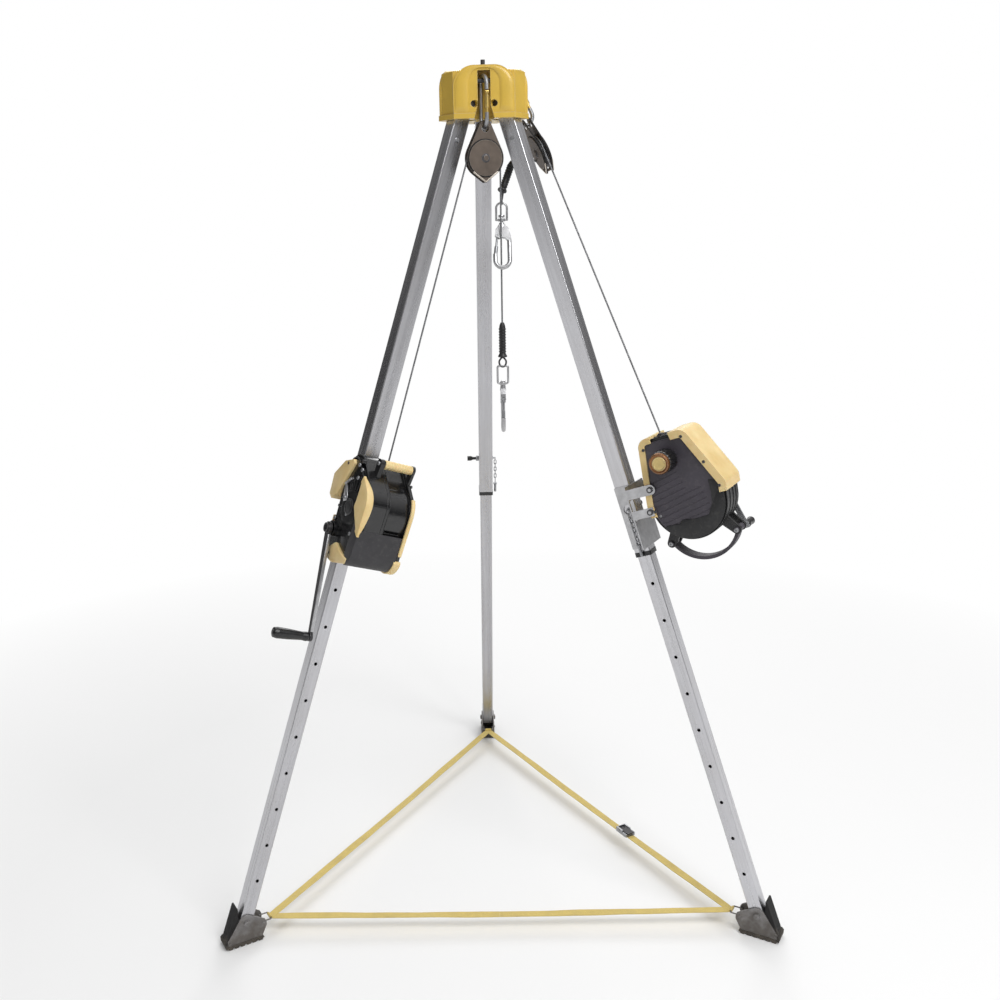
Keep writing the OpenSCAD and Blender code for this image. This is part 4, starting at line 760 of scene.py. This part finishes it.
def thimbleLoop(name, place, size):
    # a grooved eye of bent plate, oval, with its tip in the sleeve
    loop = []
    for i in range(thimble["steps"]):
        a = 2 * pi * i / thimble["steps"]
        pinch = 1 - thimble["pinch"] * max(0, cos(a)) ** 2
        loop.append(Vector((sin(a) * size * pinch, 0, size * thimble["rise"] + cos(a) * size * thimble["long"])))
    return tube(name, loop, thimble["wire"], "darkSteel", place, around=12, closed=True, flat=thimble["flat"])


winchSleevePlace = moved(dropTop.x, dropTop.y, lines["sleeveLow"])
lifeSleevePlace = Matrix.Translation(lifeLow) @ lifeUp.to_track_quat("Z", "Y").to_matrix().to_4x4()
lifeSleeve = lathe("lifeSleeve", rings, "blackMoulding", lifeSleevePlace, 40)
eyeTop = Vector(lines["lifeEyeTop"])
neck = [lifeLow + lifeUp * 4, lifeLow.lerp(eyeTop, 0.5), eyeTop + Vector((0, 0, 9))]
lifeNeck = tube("lifeNeck", neck, [5.2, 4.6, 4.4], "darkSteel", here, around=20)
thimblePlace = Matrix.Translation(eyeTop + Vector((0, 0, 4.4))) @ turned("Z", 90)
lifeThimble = thimbleLoop("lifeThimble", thimblePlace, 7.5)
lifeEnd = joined("lifeSleeveEnd", [lifeSleeve, lifeNeck, lifeThimble])
dress(lifeEnd, "lifeline_eye", "case_black", "lifeline_drop")

# the winch rope's sleeve, thimble and square swivel eye
eye = {"half": 15, "top": -25.8, "low": -75.8, "wire": 3.1, "corner": 5}
loop = []
side, top, low = eye["half"] - eye["corner"], eye["top"] - eye["corner"], eye["low"] + eye["corner"]
for quarter, (x, z) in enumerate(((side, top), (-side, top), (-side, low), (side, low))):
    loop += arcPoints((x, 0, z), eye["corner"], quarter * 90, 90, 8)
winchEyeWire = tube("winchEyeWire", loop, eye["wire"], "brightSteel", winchSleevePlace, closed=True)
ferrule = [(4.6, -4.6), (8.2, -4.6), (9.2, -3.6), (9.2, 2.4), (8.2, 3.8), (6.6, 4.4), (4.6, 4.4), (4.6, -4.6)]
winchCollar = lathe("winchCollar", ferrule, "brightSteel", winchSleevePlace @ moved(0, 0, eye["low"]), 32)
winchSleeve = lathe("winchSleeve", rings, "blackMoulding", winchSleevePlace, 40)
winchThimble = thimbleLoop("winchThimble", winchSleevePlace @ moved(0, 0, -17), 10)
winchEye = joined("winchEyeSet", [winchSleeve, winchThimble, winchEyeWire, winchCollar])
dress(winchEye, "winch_eye", "case_black", "winch_hook_eye")
print("sleeves and eyes made")


# webbing between the feet
webbing = {"width": 25, "thick": 2, "sag": 5, "ringOut": -78, "ringDrop": -17, "wire": 4, "inset": 3, "gap": 0.15,
           "keep": 0.4284, "step": 4, "slack": 0.3, "taper": 3.5, "taperRun": 60, "waves": ((0.7, 61), (0.5, 23)),
           "rolls": ((1.1, 90), (0.5, 37)), "waveDepth": 0.6, "rollDepth": 0.7}
strapOut = tripod["footOut"] + webbing["ringOut"]
strapHeight = tripod["pivotHeight"] + webbing["ringDrop"]
strapSide = (strapOut - webbing["inset"]) * sqrt(3)
strapDrop = -webbing["wire"] / 2 - webbing["slack"] - webbing["thick"] / 2
feet = {"left": tripod["leftTurn"], "right": tripod["rightTurn"], "back": tripod["backTurn"]}


def ribbon(name, along, widthAt, lift, place):
    # a woven strip with rounded edges: along in x, across in y, thickness in z
    half = webbing["thick"] / 2
    section = [(-1, -0.45), (-0.985, -0.9), (-0.95, -1), (-0.9, -1), (0, -1), (0.9, -1), (0.95, -1), (0.985, -0.9),
               (1, -0.45), (1, 0.45), (0.985, 0.9), (0.95, 1), (0.9, 1), (0, 1), (-0.9, 1), (-0.95, 1),
               (-0.985, 0.9), (-1, 0.45)]
    verts, run = [], []
    for x in along:
        w = widthAt(x) / 2
        for u, v in section:
            verts.append((x, u * w, v * half + lift(x, u)))
            run.append(((u + 1) * 0.5 * webbing["width"] / 1000, x / 1000))
    faces = skin(len(along), len(section))
    return hardEdges(meshPiece(name, verts, faces, "webbing", place, run), degrees=60, weld=True)


def strapArm(side, way):
    turn = feet[side]
    rng = random.Random(side + str(way))
    phases = [rng.uniform(0, 6.28) for _ in range(4)]
    length = strapSide / 2 - webbing["gap"]
    place = (turned("Z", turn) @ moved(strapOut - webbing["inset"], 0, strapHeight + strapDrop)
             @ turned("Z", way))

    def ripple(kind, x, first):
        return sum(deep * sin(x / far + phases[first + i]) for i, (deep, far) in enumerate(webbing[kind]))

    def sagAt(x, u):
        t = x / (strapSide / 2)
        fade = sin(pi * min(1, t)) ** 0.5 if 0 < t < 1 else 0
        wave = ripple("waves", x, 0) * webbing["waveDepth"]
        roll = u * ripple("rolls", x, 2) * webbing["rollDepth"]
        return -webbing["sag"] * sin(pi * t / 2) ** 2 + fade * (wave + roll)

    def widthAt(x):
        return webbing["width"] - webbing["taper"] * max(0, 1 - x / webbing["taperRun"]) ** 2

    count = int(length / webbing["step"])
    along = [length * i / count for i in range(count + 1)]
    piece = ribbon(side + "Strap" + ("A" if way > 0 else "B"), along, widthAt, sagAt, place)
    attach(piece, side + "_foot")
    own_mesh(piece)
    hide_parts(side + "_strap")


def strapLoop(side):
    # the fold of webbing round the ring's crossbar
    place = turned("Z", feet[side]) @ moved(strapOut, 0, strapHeight)
    steps, rows = 40, 12
    half = webbing["width"] / 2 - 1.2
    inner = webbing["wire"] / 2 + 0.25
    section = [(inner, k) for k in range(rows + 1)]
    section += [(inner + webbing["thick"], k) for k in reversed(range(rows + 1))]
    verts, run = [], []
    for i in range(steps):
        a = 2 * pi * i / steps
        for r, k in section:
            y = -half + 2 * half * k / rows
            verts.append((r * cos(a), y, r * sin(a)))
            run.append(((y + half) / 1000, a * r / 1000))
    faces = skin(steps, len(section), closed=True)
    piece = hardEdges(meshPiece(side + "StrapLoop", verts, faces, "webbing", place, run), degrees=60)
    dress(piece, side + "_foot", "webbing", side + "_strap")


for side in feet:
    strapArm(side, 150)
    strapArm(side, -150)
    strapLoop(side)
print("webbing made")


# pulley trims: dark banding on the plates' edges, a dark ring round each raised disc that paints the shade of the
# groove there, a pale lip, and a dark nut and washer that also paint the shade of the hub's hole
pulley = {"low": 7.0, "high": 10.5, "nut": 17.28, "band": 0.35, "bandDepth": 0.8, "lap": 0.15,
          "lipIn": -2.4, "lipBelow": -112, "lipRadius": 2.5,
          "circles": ((0, 2, 18), (-1, -78, 52), (-1, -138, 4))}


def outsideOf(points):
    # convex outline round a cloud of points
    ordered = sorted(set((round(x, 4), round(y, 4)) for x, y in points))
    chains = []
    for run in (ordered, ordered[::-1]):
        chain = []
        for p in run:
            while len(chain) > 1 and ((chain[-1][0] - chain[-2][0]) * (p[1] - chain[-2][1])
                                      - (chain[-1][1] - chain[-2][1]) * (p[0] - chain[-2][0])) <= 0:
                chain.pop()
            chain.append(p)
        chains += chain[:-1]
    return chains


def aroundCircles(circles, grow, count=72):
    return outsideOf([(x + (r + grow) * cos(2 * pi * i / count), y + (r + grow) * sin(2 * pi * i / count))
                      for x, y, r in circles for i in range(count)])


def band(name, outer, inner, low, high, finish, place):
    # a closed strip between two outlines of the same number of points
    count = len(outer)
    verts = [(x, y, z) for z in (low, high) for ring in (outer, inner) for x, y in ring]
    faces = []
    for i in range(count):
        j = (i + 1) % count
        o0, i0, o1, i1 = 0, count, 2 * count, 3 * count
        faces += [(o0 + i, o0 + j, o1 + j, o1 + i), (i0 + j, i0 + i, i1 + i, i1 + j),
                  (o1 + i, o1 + j, i1 + j, i1 + i), (o0 + j, o0 + i, i0 + i, i0 + j)]
    return hardEdges(meshPiece(name, verts, faces, finish, place), degrees=35)


def shrunk(outline, amount):
    # each point moved inward along the mean of its two edges' normals
    count = len(outline)
    out = []
    for i, (x, y) in enumerate(outline):
        a, b = outline[i - 1], outline[(i + 1) % count]
        d = Vector((b[0] - a[0], b[1] - a[1])).normalized()
        out.append((x - d.y * amount, y + d.x * amount))
    return out


def hexagon(across):
    r = across / sqrt(3)
    return [(r * cos(radians(30 + 60 * i)), r * sin(radians(30 + 60 * i))) for i in range(6)]


def pulleyTrim(name, place):
    flat = place @ turned("X", 90)
    hub = flat @ moved(sheaveCentre.x, sheaveCentre.z, 0)
    edge = aroundCircles(pulley["circles"], pulley["band"])
    inside = shrunk(edge, pulley["bandDepth"])
    h = pulley["high"]
    paintedShadeRing = [(45.4, h - 0.2), (46.0, h + 1.5), (47.6, h + 2.2), (49.2, h + 1.9), (50.2, h + 1.0), (50.6, h - 0.2),
            (45.4, h - 0.2)]
    washer = [(7.1, h + 2.8), (11.5, h + 2.8), (12, h + 3.2), (11.5, h + 3.7), (7.1, h + 3.7), (7.1, h + 2.8)]
    parts = []
    for way in (1, -1):
        low, high = sorted((way * (pulley["low"] - pulley["lap"]), way * (h + pulley["lap"])))
        parts.append(band("edge", edge, inside, low, high, "rubber", flat))
        # painted shade: a dark rubber ring where the groove round the disc lies in shade
        parts.append(lathe("paintedShadeRing", [(r, way * z) for r, z in paintedShadeRing], "rubber", hub, around=72))
        # a nut and washer in dark steel, their darkness also painting the shade of the hole at the hub
        low, high = sorted((way * (h + 2.9), way * (h + 5.8)))
        parts.append(plate("nut", hexagon(pulley["nut"]), low, high, 0.5, "darkSteel", hub))
        parts.append(lathe("washer", [(r, way * z) for r, z in washer], "darkSteel", hub, around=36))
        lip = [Vector((x, y, way * (h + 0.4))) for x, y in aroundCircles(pulley["circles"], pulley["lipIn"])
               if y < pulley["lipBelow"]]
        lip.sort(key=lambda p: p.x)
        parts.append(tube("lip", evenRun(lip, 2.0), pulley["lipRadius"], "pulleyRim", flat, around=10))
    return joined(name, parts)


dress(pulleyTrim("frontPulleyTrim", frontPulley), "head", "pulley_plate")
dress(pulleyTrim("rearPulleyTrim", rearPulley), "head", "pulley_plate")
print("pulley trims made")


# screws: button heads with a hex socket
screw = {"sides": 24, "socket": 0.46, "socketLevels": (1.0, 0.35),
         "profile": ((1.0, 0.0), (1.0, 0.5), (0.93, 0.82), (0.78, 0.98), (0.6, 1.0))}


def socketScrew(place, radius, height, finish):
    bm = bmesh.new()
    sides = screw["sides"]
    angles = [2 * pi * i / sides for i in range(sides)]
    hexes = [screw["socket"] * cos(pi / 6) / cos((a + pi / 6) % (pi / 3) - pi / 6) for a in angles]
    levels = [([r] * sides, z) for r, z in screw["profile"]] + [(hexes, z) for z in screw["socketLevels"]]
    rings = [[bm.verts.new((radius * r * cos(a), radius * r * sin(a), height * z)) for r, a in zip(reach, angles)]
             for reach, z in levels]
    for a, b in zip(rings, rings[1:]):
        for i in range(sides):
            j = (i + 1) % sides
            bm.faces.new((a[i], a[j], b[j], b[i]))
    bm.faces.new(rings[0][::-1])
    bm.faces.new(rings[-1])
    return hardEdges(bmeshPiece("screw", bm, finish, place), degrees=35)


def screwRow(place, spots, level, radius, height, finish="darkSteel", facing=0):
    # screws on one plane; facing is 180 for those on the far side
    return [socketScrew(place @ moved(x, y, level) @ turned("X", facing), radius, height, finish) for x, y in spots]


def rimTube(circles, grow, level, radius, finish, place):
    # a round rib along the outline of a shell
    line = [Vector((x, y, level)) for x, y in aroundCircles(circles, grow)]
    return tube("rib", evenRun(line + [line[0]], 4.0)[:-1], radius, finish, place, around=10, closed=True)


# winch: rounded rims, screws, ribs, grip sleeve, front cover and pawl
winch = {"circles": ((84, -1030, 42), (150, -1112, 62), (160, -1238, 42), (76, -1240, 34)),
         "drum": (122, -1130), "outside": 78, "inside": -74, "bar": (150, -996), "pawl": (86, -1112),
         "screws": ((74, -1018), (116, -1014), (138, -1024), (126, -1048), (160, -1196), (114, -1152), (52, -1176)),
         "backScrews": ((92, -1015), (150, -1040), (186, -1100), (184, -1220), (90, -1252), (62, -1190)),
         "rims": ((63.6, 0, 1.7), (14.6, 0, 1.5), (6.4, 0, 1.5), (-60.4, -2, 1.5), (-67.6, -2, 1.5), (73.6, -9, 1.4)),
         "ribs": 9, "ribTurn": 14, "ribFrom": 18, "ribStart": 47, "ribEnd": 76, "ribShorter": 1.2,
         "ribLevels": (73.5, 76.6), "pawlTurn": 24, "pawlLevels": (76.4, 80.4), "barEnds": ((40.2, 0), (-68.2, 180))}
leftLeg = legPlace(tripod["leftTurn"])
winchSide = leftLeg @ turned("Z", 90) @ turned("X", 90)   # local x to y, y to z, z to x
winchParts = [rimTube(winch["circles"], grow - 0.7, x, r, "blackMoulding", winchSide) for x, grow, r in winch["rims"]]
dress(joined("winchRims", winchParts), "left_leg", "case_black")

winchParts = screwRow(winchSide, winch["screws"], winch["outside"] - 2.3, radius=5.4, height=4.2, finish="steel")
winchParts += screwRow(winchSide, winch["backScrews"], winch["inside"] + 0.2, radius=4.6, height=3.4, finish="steel",
                       facing=180)
drumPlace = winchSide @ moved(*winch["drum"], 0)
hub = [(0, 0), (23, 0), (23, 1.6), (21, 3.4), (18, 3.8), (17, 2.8), (13, 2.8), (12, 4.4), (0, 4.8)]
winchParts.append(lathe("drumCap", hub, "satinBlack", drumPlace @ moved(0, 0, winch["outside"] + 0.6), around=64))
for k in range(winch["ribs"]):
    rib = drumPlace @ turned("Z", winch["ribFrom"] + k * winch["ribTurn"])
    # the ribs at both ends of the fan are the shortest
    reach = winch["ribEnd"] - winch["ribShorter"] * abs(k - winch["ribs"] // 2)
    outline = [(winch["ribStart"], -1.5), (winch["ribStart"], 1.5), (reach, 1.1), (reach, -1.1)]
    winchParts.append(plate("rib", outline, *winch["ribLevels"], 0.6, "blackMoulding", rib))
lever = [(-9, -8), (9, -9), (12, 4), (7, 26), (3, 44), (-4, 44), (-6, 24), (-11, 6)]
leverPlace = winchSide @ moved(*winch["pawl"], 0) @ turned("Z", winch["pawlTurn"])
winchParts.append(plate("pawlLever", lever, *winch["pawlLevels"], 0.8, "brightSteel", leverPlace))
winchParts += screwRow(winchSide, [winch["pawl"]], 80.2, radius=6, height=4.5, finish="steel")
spring = {"start": (66, -1076, 79), "pitch": (0.17, 0.12, 0), "across": (-0.57, 0.82, 0), "radius": 3.2, "wire": 0.7,
          "turns": 12, "steps": 15}
coil = []
for i in range(spring["turns"] * spring["steps"]):
    a = 2 * pi * i / spring["steps"]
    middle = Vector(spring["start"]) + Vector(spring["pitch"]) * i
    coil.append(middle + (Vector(spring["across"]) * cos(a) + Vector((0, 0, 1)) * sin(a)) * spring["radius"])
winchParts.append(tube("pawlSpring", coil, spring["wire"], "brightSteel", winchSide, around=8))
dress(joined("winchHardware", winchParts), "left_leg", "steel")

# guards that wrap the rim: first and last angle round the drum, low and high across the winch, thickness, how far
# each laps over the winch's side, how much its ends taper, and its finish
guards = {"lens": (-36, 66, 60, 78, 4.5, 62, 0.62, "guard"), "upperBack": (128, 172, 42, 74, 6, 0, 0, "guard"),
          "lowerBack": (206, 252, 36, 76, 6, 0, 0, "guard"), "farSide": (-48, 38, -68, -58, 6, 0, 0, "guard"),
          "farFoot": (276, 306, -73, -52, 6, 0, 0, "guard"), "apron": (-70, -28, -57, 78, 2.2, 36, 0, "slateBlack")}
corners = {"cornerTop": ((84, -1004), (36, -1017), (-12, -1062), (-9, -1121), (8, -1131), (36, -1112), (92, -1014)),
           "cornerLow": ((103, -1234), (68, -1256), (71, -1284), (104, -1290), (182, -1275), (186, -1260),
                         (144, -1252))}
cornerBack = {"cornerTop": 48, "cornerLow": 70, "front": 83, "bevel": 3}
hulls = {}


def rimAt(angle, grow):
    # where a ray from the drum's centre leaves the winch's outline
    if grow not in hulls:
        hulls[grow] = aroundCircles(winch["circles"], grow)
    outline = hulls[grow]
    cy, cz = winch["drum"]
    ry, rz = cos(radians(angle)), sin(radians(angle))
    for (y0, z0), (y1, z1) in zip(outline, outline[1:] + outline[:1]):
        d0 = ry * (z0 - cz) - rz * (y0 - cy)
        d1 = ry * (z1 - cz) - rz * (y1 - cy)
        if d0 <= 0 < d1:
            t = d0 / (d0 - d1)
            return y0 + (y1 - y0) * t, z0 + (z1 - z0) * t
    raise ValueError("no rim at %s" % angle)


def rimGuard(name, start, end, low, high, thick, lap, lens, finish):
    steps = 30
    verts = []
    for i in range(steps + 1):
        t = i / steps
        swell = max(0.1, sin(pi * t)) ** lens if lens else 1
        near = high - (high - low) * swell if lap else low
        top = high + (thick * 0.75 if lap else 0)
        over = -round(lap * swell, 2) if lap else 0.2
        section = [(0.2, near), (thick - 0.9, near), (thick, near + 0.9), (thick, top - 1.5),
                   (thick - 0.5, top - 0.5), (thick - 1.5, top)]
        if lap:
            section += [(over + 0.9, top), (over, top - 0.9), (over, high + 0.1), (0.2, high + 0.1)]
        else:
            section.append((0.2, top))
        for grow, x in section:
            y, z = rimAt(start + (end - start) * t, grow)
            verts.append((y, z, x))
    faces = skin(steps + 1, len(section))
    return hardEdges(meshPiece(name, verts, faces, finish, winchSide), degrees=40, weld=True)


bumperParts = [rimGuard(name, *numbers) for name, numbers in guards.items() if name != "apron"]
for name, outline in corners.items():
    bumperParts.append(plate(name, outline, cornerBack[name], cornerBack["front"], cornerBack["bevel"], "guard",
                             winchSide, segments=3))
bumperParts += screwRow(winchSide, ((80, -1270), (60, -1020)), 82.6, radius=4, height=2.4)
dress(joined("winchBumperSet", bumperParts), "left_leg", "guard_yellow", "winch_bumpers")

winchParts = [rimGuard("apron", *guards["apron"])]
grip = [(10.05, -50), (11.6, -49), (12.4, -46), (12.4, -42)]
for k in range(9):
    z = -38 + k * 8.4
    grip += [(12.0, z), (11.3, z + 1.4), (12.0, z + 2.8), (12.5, z + 4.2), (12.5, z + 6.4)]
grip += [(12.4, 40), (11.6, 42), (10.05, 43), (10.05, -50)]
winchParts.append(lathe("carryGrip", grip, "guard", winchSide @ moved(*winch["bar"], -18), around=40))
for x, facing in winch["barEnds"]:
    winchParts += screwRow(winchSide, [winch["bar"]], x, radius=6, height=4, finish="steel", facing=facing)
dress(joined("winchCover", winchParts), "left_leg", "case_black")

# bright edge of the crank's flat bar
crank = {"length": 300, "tilt": 11.497, "angle": 232.8, "gap": 93.75, "out": 90, "thick": 8}
cy, cz = winch["drum"]
crankPlace = (winchSide @ moved(cy + crank["gap"] * cos(radians(crank["angle"])),
                                cz + crank["gap"] * sin(radians(crank["angle"])), crank["out"])
              @ turned("Z", crank["tilt"]))
edgeBar = [(11.1, -18), (7.1, 14 - crank["length"]), (9.4, 14 - crank["length"]), (13.4, -18)]
edge = plate("crankEdge", edgeBar, -0.4, crank["thick"] + 0.5, 0.5, "brightSteel", crankPlace)
dress(edge, "winch_crank", "steel")
print("winch dressed")


# lifeline unit: knob, case ribs, screws, outlet bush and handle bolts
unit = {"circles": ((124, -1008, 20), (214, -1010, 22), (276, -1146, 20), (185, -1172, 106)),
        "ribs": ((50, 0, 1.6), (22, 0.2, 2.0), (-6, 0.2, 2.0), (-30, 0.2, 2.0), (-48, -0.6, 1.8)),
        "borderFrom": 240, "knob": (165, -1050), "bush": (158, -30, -989), "arms": ((96, -1118), (78, -1178)),
        "guardScrews": ((222, -1000), (262, -1080), (284, -1150), (110, -1010), (96, -1120), (92, -1180)),
        "faceScrews": ((100, -1196), (185, -1266), (262, -1216)),
        "handleEnds": ((93, -1282), (281, -1282)), "guardLevel": 61.2, "faceLevel": 55.2, "lugLevel": 29.3,
        "borderLevels": (57.2, 59.8)}
rightLeg = legPlace(tripod["rightTurn"])
unitFace = rightLeg @ turned("X", 90)         # local x to x, y to z, z to -y
unitParts = [rimTube(unit["circles"], grow, z, r, "blackMoulding", unitFace) for z, grow, r in unit["ribs"]]
unitParts.append(rimTube(unit["circles"], -8.6, 57.4, 1.6, "slateMoulding", unitFace))
# the border is bounded by this step inside and by the unit's outline outside
step = [(110, -1226), (147, -1228), (156, -1218), (192, -1223), (232, -1220), (251, -1191), (256, -1163),
        (258, -1128)]
middleX, middleZ = unit["circles"][-1][:2]
border = [(x, z) for x, z in aroundCircles(unit["circles"], -2.5)
          if z < step[-1][1] and (x > unit["borderFrom"] or z < step[0][1])]
border.sort(key=lambda p: -atan2(p[1] - middleZ, p[0] - middleX))
unitParts.append(plate("faceBorder", step + border, *unit["borderLevels"], 0.8, "blackMoulding", unitFace))
dress(joined("unitRibs", unitParts), "right_leg", "case_black")

unitParts = screwRow(unitFace, unit["guardScrews"], unit["guardLevel"], radius=4.4, height=2.4)
unitParts += screwRow(unitFace, unit["faceScrews"], unit["faceLevel"], radius=3.7, height=3.4, finish="steel")
for end in unit["handleEnds"]:
    for level, facing in ((unit["lugLevel"], 0), (-unit["lugLevel"], 180)):
        unitParts += screwRow(unitFace, [end], level, radius=6.4, height=4.2, finish="steel", facing=facing)
armRing = [(0, 66), (8.2, 66), (8.2, 71.6), (7.4, 72.6), (5.2, 72.6), (4.4, 71.2), (0, 71.2)]
unitParts += [lathe("armRing", armRing, "darkSteel", unitFace @ moved(*spot, 0), around=36) for spot in unit["arms"]]
bush = [(3.6, 0), (12.4, 0), (12.8, 1), (12.4, 4), (9, 6.5), (7, 9.5), (4.6, 10), (3.6, 8.5), (3.6, 0)]
unitParts.append(lathe("outletBush", bush, "darkSteel", rightLeg @ moved(*unit["bush"]), around=40))
dress(joined("unitHardware", unitParts), "right_leg", "steel")

knobPlace = unitFace @ moved(*unit["knob"], 0)
stem = [(0, 46), (9.9, 46), (9.9, 92), (25.2, 92), (25.2, 61), (30, 61), (31, 62.4), (31, 103), (30, 108),
        (27.5, 110.6), (0, 110.6)]
cap = [(0, 110.2), (19.6, 110.2), (19.6, 119.4), (18.6, 120.6), (17.4, 121.1), (16, 120.6), (15, 119.8), (0, 120.4)]
capRim = [(19.4, 110.2), (27.8, 110.2), (28.7, 112), (28.4, 118), (26.9, 121), (24.8, 122.2), (22, 121.4),
          (20.4, 119.9), (19.4, 119.6), (19.4, 110.2)]


def fluted(piece, place, teeth, inner, depth):
    # finger flutes round the outer rim of a turned piece
    back = (millimetre @ place).inverted()
    onward = millimetre @ place
    for v in piece.data.vertices:
        p = back @ v.co
        r = sqrt(p.x * p.x + p.y * p.y)
        if r > inner:
            a = atan2(p.y, p.x)
            k = 1 - depth * (0.5 + 0.5 * cos(a * teeth)) ** 3 / r
            v.co = onward @ Vector((p.x * k, p.y * k, p.z))
    return piece


body = lathe("knobBody", stem, "satinBlack", knobPlace, around=144)
rim = lathe("knobRim", capRim, "knobRim", knobPlace, around=144)
knobParts = [fluted(body, knobPlace, teeth=18, inner=28, depth=1.6),
             lathe("knobCap", cap, "knobGold", knobPlace, around=96),
             fluted(rim, knobPlace, teeth=36, inner=26, depth=0.6)]
dress(joined("unitKnobSet", knobParts), "unit_knob", "guard_yellow", "unit_knob")
print("lifeline unit dressed")


# dark plastic collars at the lower ends of the outer tubes
collar = {"outer": (23.7, 3.6), "inner": (20.4, 0.8), "tube": (23.02, 3.0), "end": -1297, "below": 4, "sunk": 0.2,
          "lip": 9}


def squareRing(half, corner):
    out = []
    for sx, sy, start in ((1, 1, 0), (-1, 1, 90), (-1, -1, 180), (1, -1, 270)):
        centre = (sx * (half - corner), 0, sy * (half - corner))
        out += [(p.x, p.z) for p in arcPoints(centre, corner, start, 90, 8)]
    return out


for side, turn in feet.items():
    place = legPlace(turn)
    end = collar["end"]
    outer, inner, tubeSide = (squareRing(*collar[name]) for name in ("outer", "inner", "tube"))
    ring = band("collar", outer, inner, end - collar["below"], end + collar["sunk"], "satinBlack", place)
    lip = band("lip", outer, tubeSide, end, end + collar["lip"], "satinBlack", place)
    dress(joined(side + "TubeCollar", [ring, lip]), side + "_leg", "case_black")
print("tube collars made")


# floor, light and camera
stageSet = {"floorShade": 0.86, "floorHalf": 40, "clear": (1.5, 3.4), "shine": (12, 38, 1.0, 0.6),
            "skyHeight": (0.12, 0.8, 0.07, 1.15), "skySide": (-0.9, 0.3, 0.3, 1.0), "below": (-0.07, 0.0, 1.0, 0.0)}
edge = stageSet["floorHalf"]
floorMesh = bpy.data.meshes.new("floor")
floorMesh.from_pydata([(-edge, -edge, 0), (edge, -edge, 0), (edge, edge, 0), (-edge, edge, 0)], [], [(0, 1, 2, 3)])
floor = shown("floor", floorMesh)
paper = Finish("floorPaper", Roughness=0.9, Specular_IOR_Level=0.1, Base_Color=(*[stageSet["floorShade"]] * 3, 1))
rays = ("Is Camera Ray", "Is Glossy Ray", "Is Transmission Ray")
byCamera, byGloss, byGlass = paper.add("ShaderNodeLightPath", {}, {}, rays)
byShine = byGloss + byGlass
outward = paper.add("ShaderNodeVectorMath", {"operation": "LENGTH"}, {0: paper.place()}, "Value")
clear = paper.spread(outward, *stageSet["clear"]) * (byCamera + byShine).held()
glow = byCamera + byShine * paper.spread(outward, *stageSet["shine"])
shining = paper.add("ShaderNodeEmission", {}, {"Strength": 1.0, "Color": glow})
paper.surface("Material Output", clear, Value(paper, paper.shader.outputs[0]), shining)
floorMesh.materials.append(paper.material)

world = bpy.data.worlds.new("studio")
scene.world = world
world.use_nodes = True
studio = Shade(world.node_tree)
toRight, _, upward = studio.parts(studio.add("ShaderNodeTexCoord", {}, {}, "Generated"))
sky = (studio.spread(upward, *stageSet["skyHeight"]) * studio.spread(toRight, *stageSet["skySide"])
       + studio.spread(upward, *stageSet["below"]))
plainNode = studio.tree.nodes["Background"]
plainNode.inputs["Color"].default_value = (1, 1, 1, 1)
plainNode.inputs["Strength"].default_value = 1.0
lit = studio.add("ShaderNodeBackground", {}, {"Color": (1, 1, 1, 1), "Strength": sky})
seen = studio.add("ShaderNodeLightPath", {}, {}, "Is Camera Ray")
studio.surface("World Output", seen, lit, Value(studio, plainNode.outputs[0]))

# each light's place, target, size and power
lights = {"keyLight": ((1.9, -2.7, 4.3), (0, 0, 1.3), 2.2, 105),
          "fillLight": ((-3.2, -2.6, 2.2), (0, 0, 1.2), 2.4, 5),
          "rimLight": ((0.4, 3.4, 3.4), (0, 0, 1.6), 2.0, 55)}
for name, (place, target, size, power) in lights.items():
    data = bpy.data.lights.new(name, "AREA")
    data.shape = "RECTANGLE"
    data.size = data.size_y = size
    data.energy = power
    aim = (Vector(target) - Vector(place)).to_track_quat("-Z", "Y").to_matrix().to_4x4()
    shown(name, data).matrix_world = Matrix.Translation(place) @ aim

view = {"place": (-0.0816, -3.2233, 2.0513), "down": 0.2500, "turn": 0.0235, "roll": -0.0281,
        "lens": 39.73, "shift": (0.0627, -0.0079), "sensor": 36, "clipEnd": 200}
turn, down, roll = view["turn"], view["down"], view["roll"]
across = Vector((cos(turn), sin(turn), 0))
ahead = Vector((-sin(turn), cos(turn), 0))
above = Vector((0, 0, 1))
forward = cos(down) * ahead - sin(down) * above
lifted = sin(down) * ahead + cos(down) * above
sideways = cos(roll) * across + sin(roll) * lifted
upright = -sin(roll) * across + cos(roll) * lifted
cameraData = bpy.data.cameras.new("camera")
cameraData.sensor_width = view["sensor"]
cameraData.lens = view["lens"]
cameraData.shift_x, cameraData.shift_y = view["shift"]
cameraData.clip_end = view["clipEnd"]
camera = shown("camera", cameraData)
camera.matrix_world = Matrix.Translation(view["place"]) @ Matrix((sideways, upright, -forward)).transposed().to_4x4()
scene.camera = camera
scene.view_settings.view_transform = "Standard"
print("stage set")
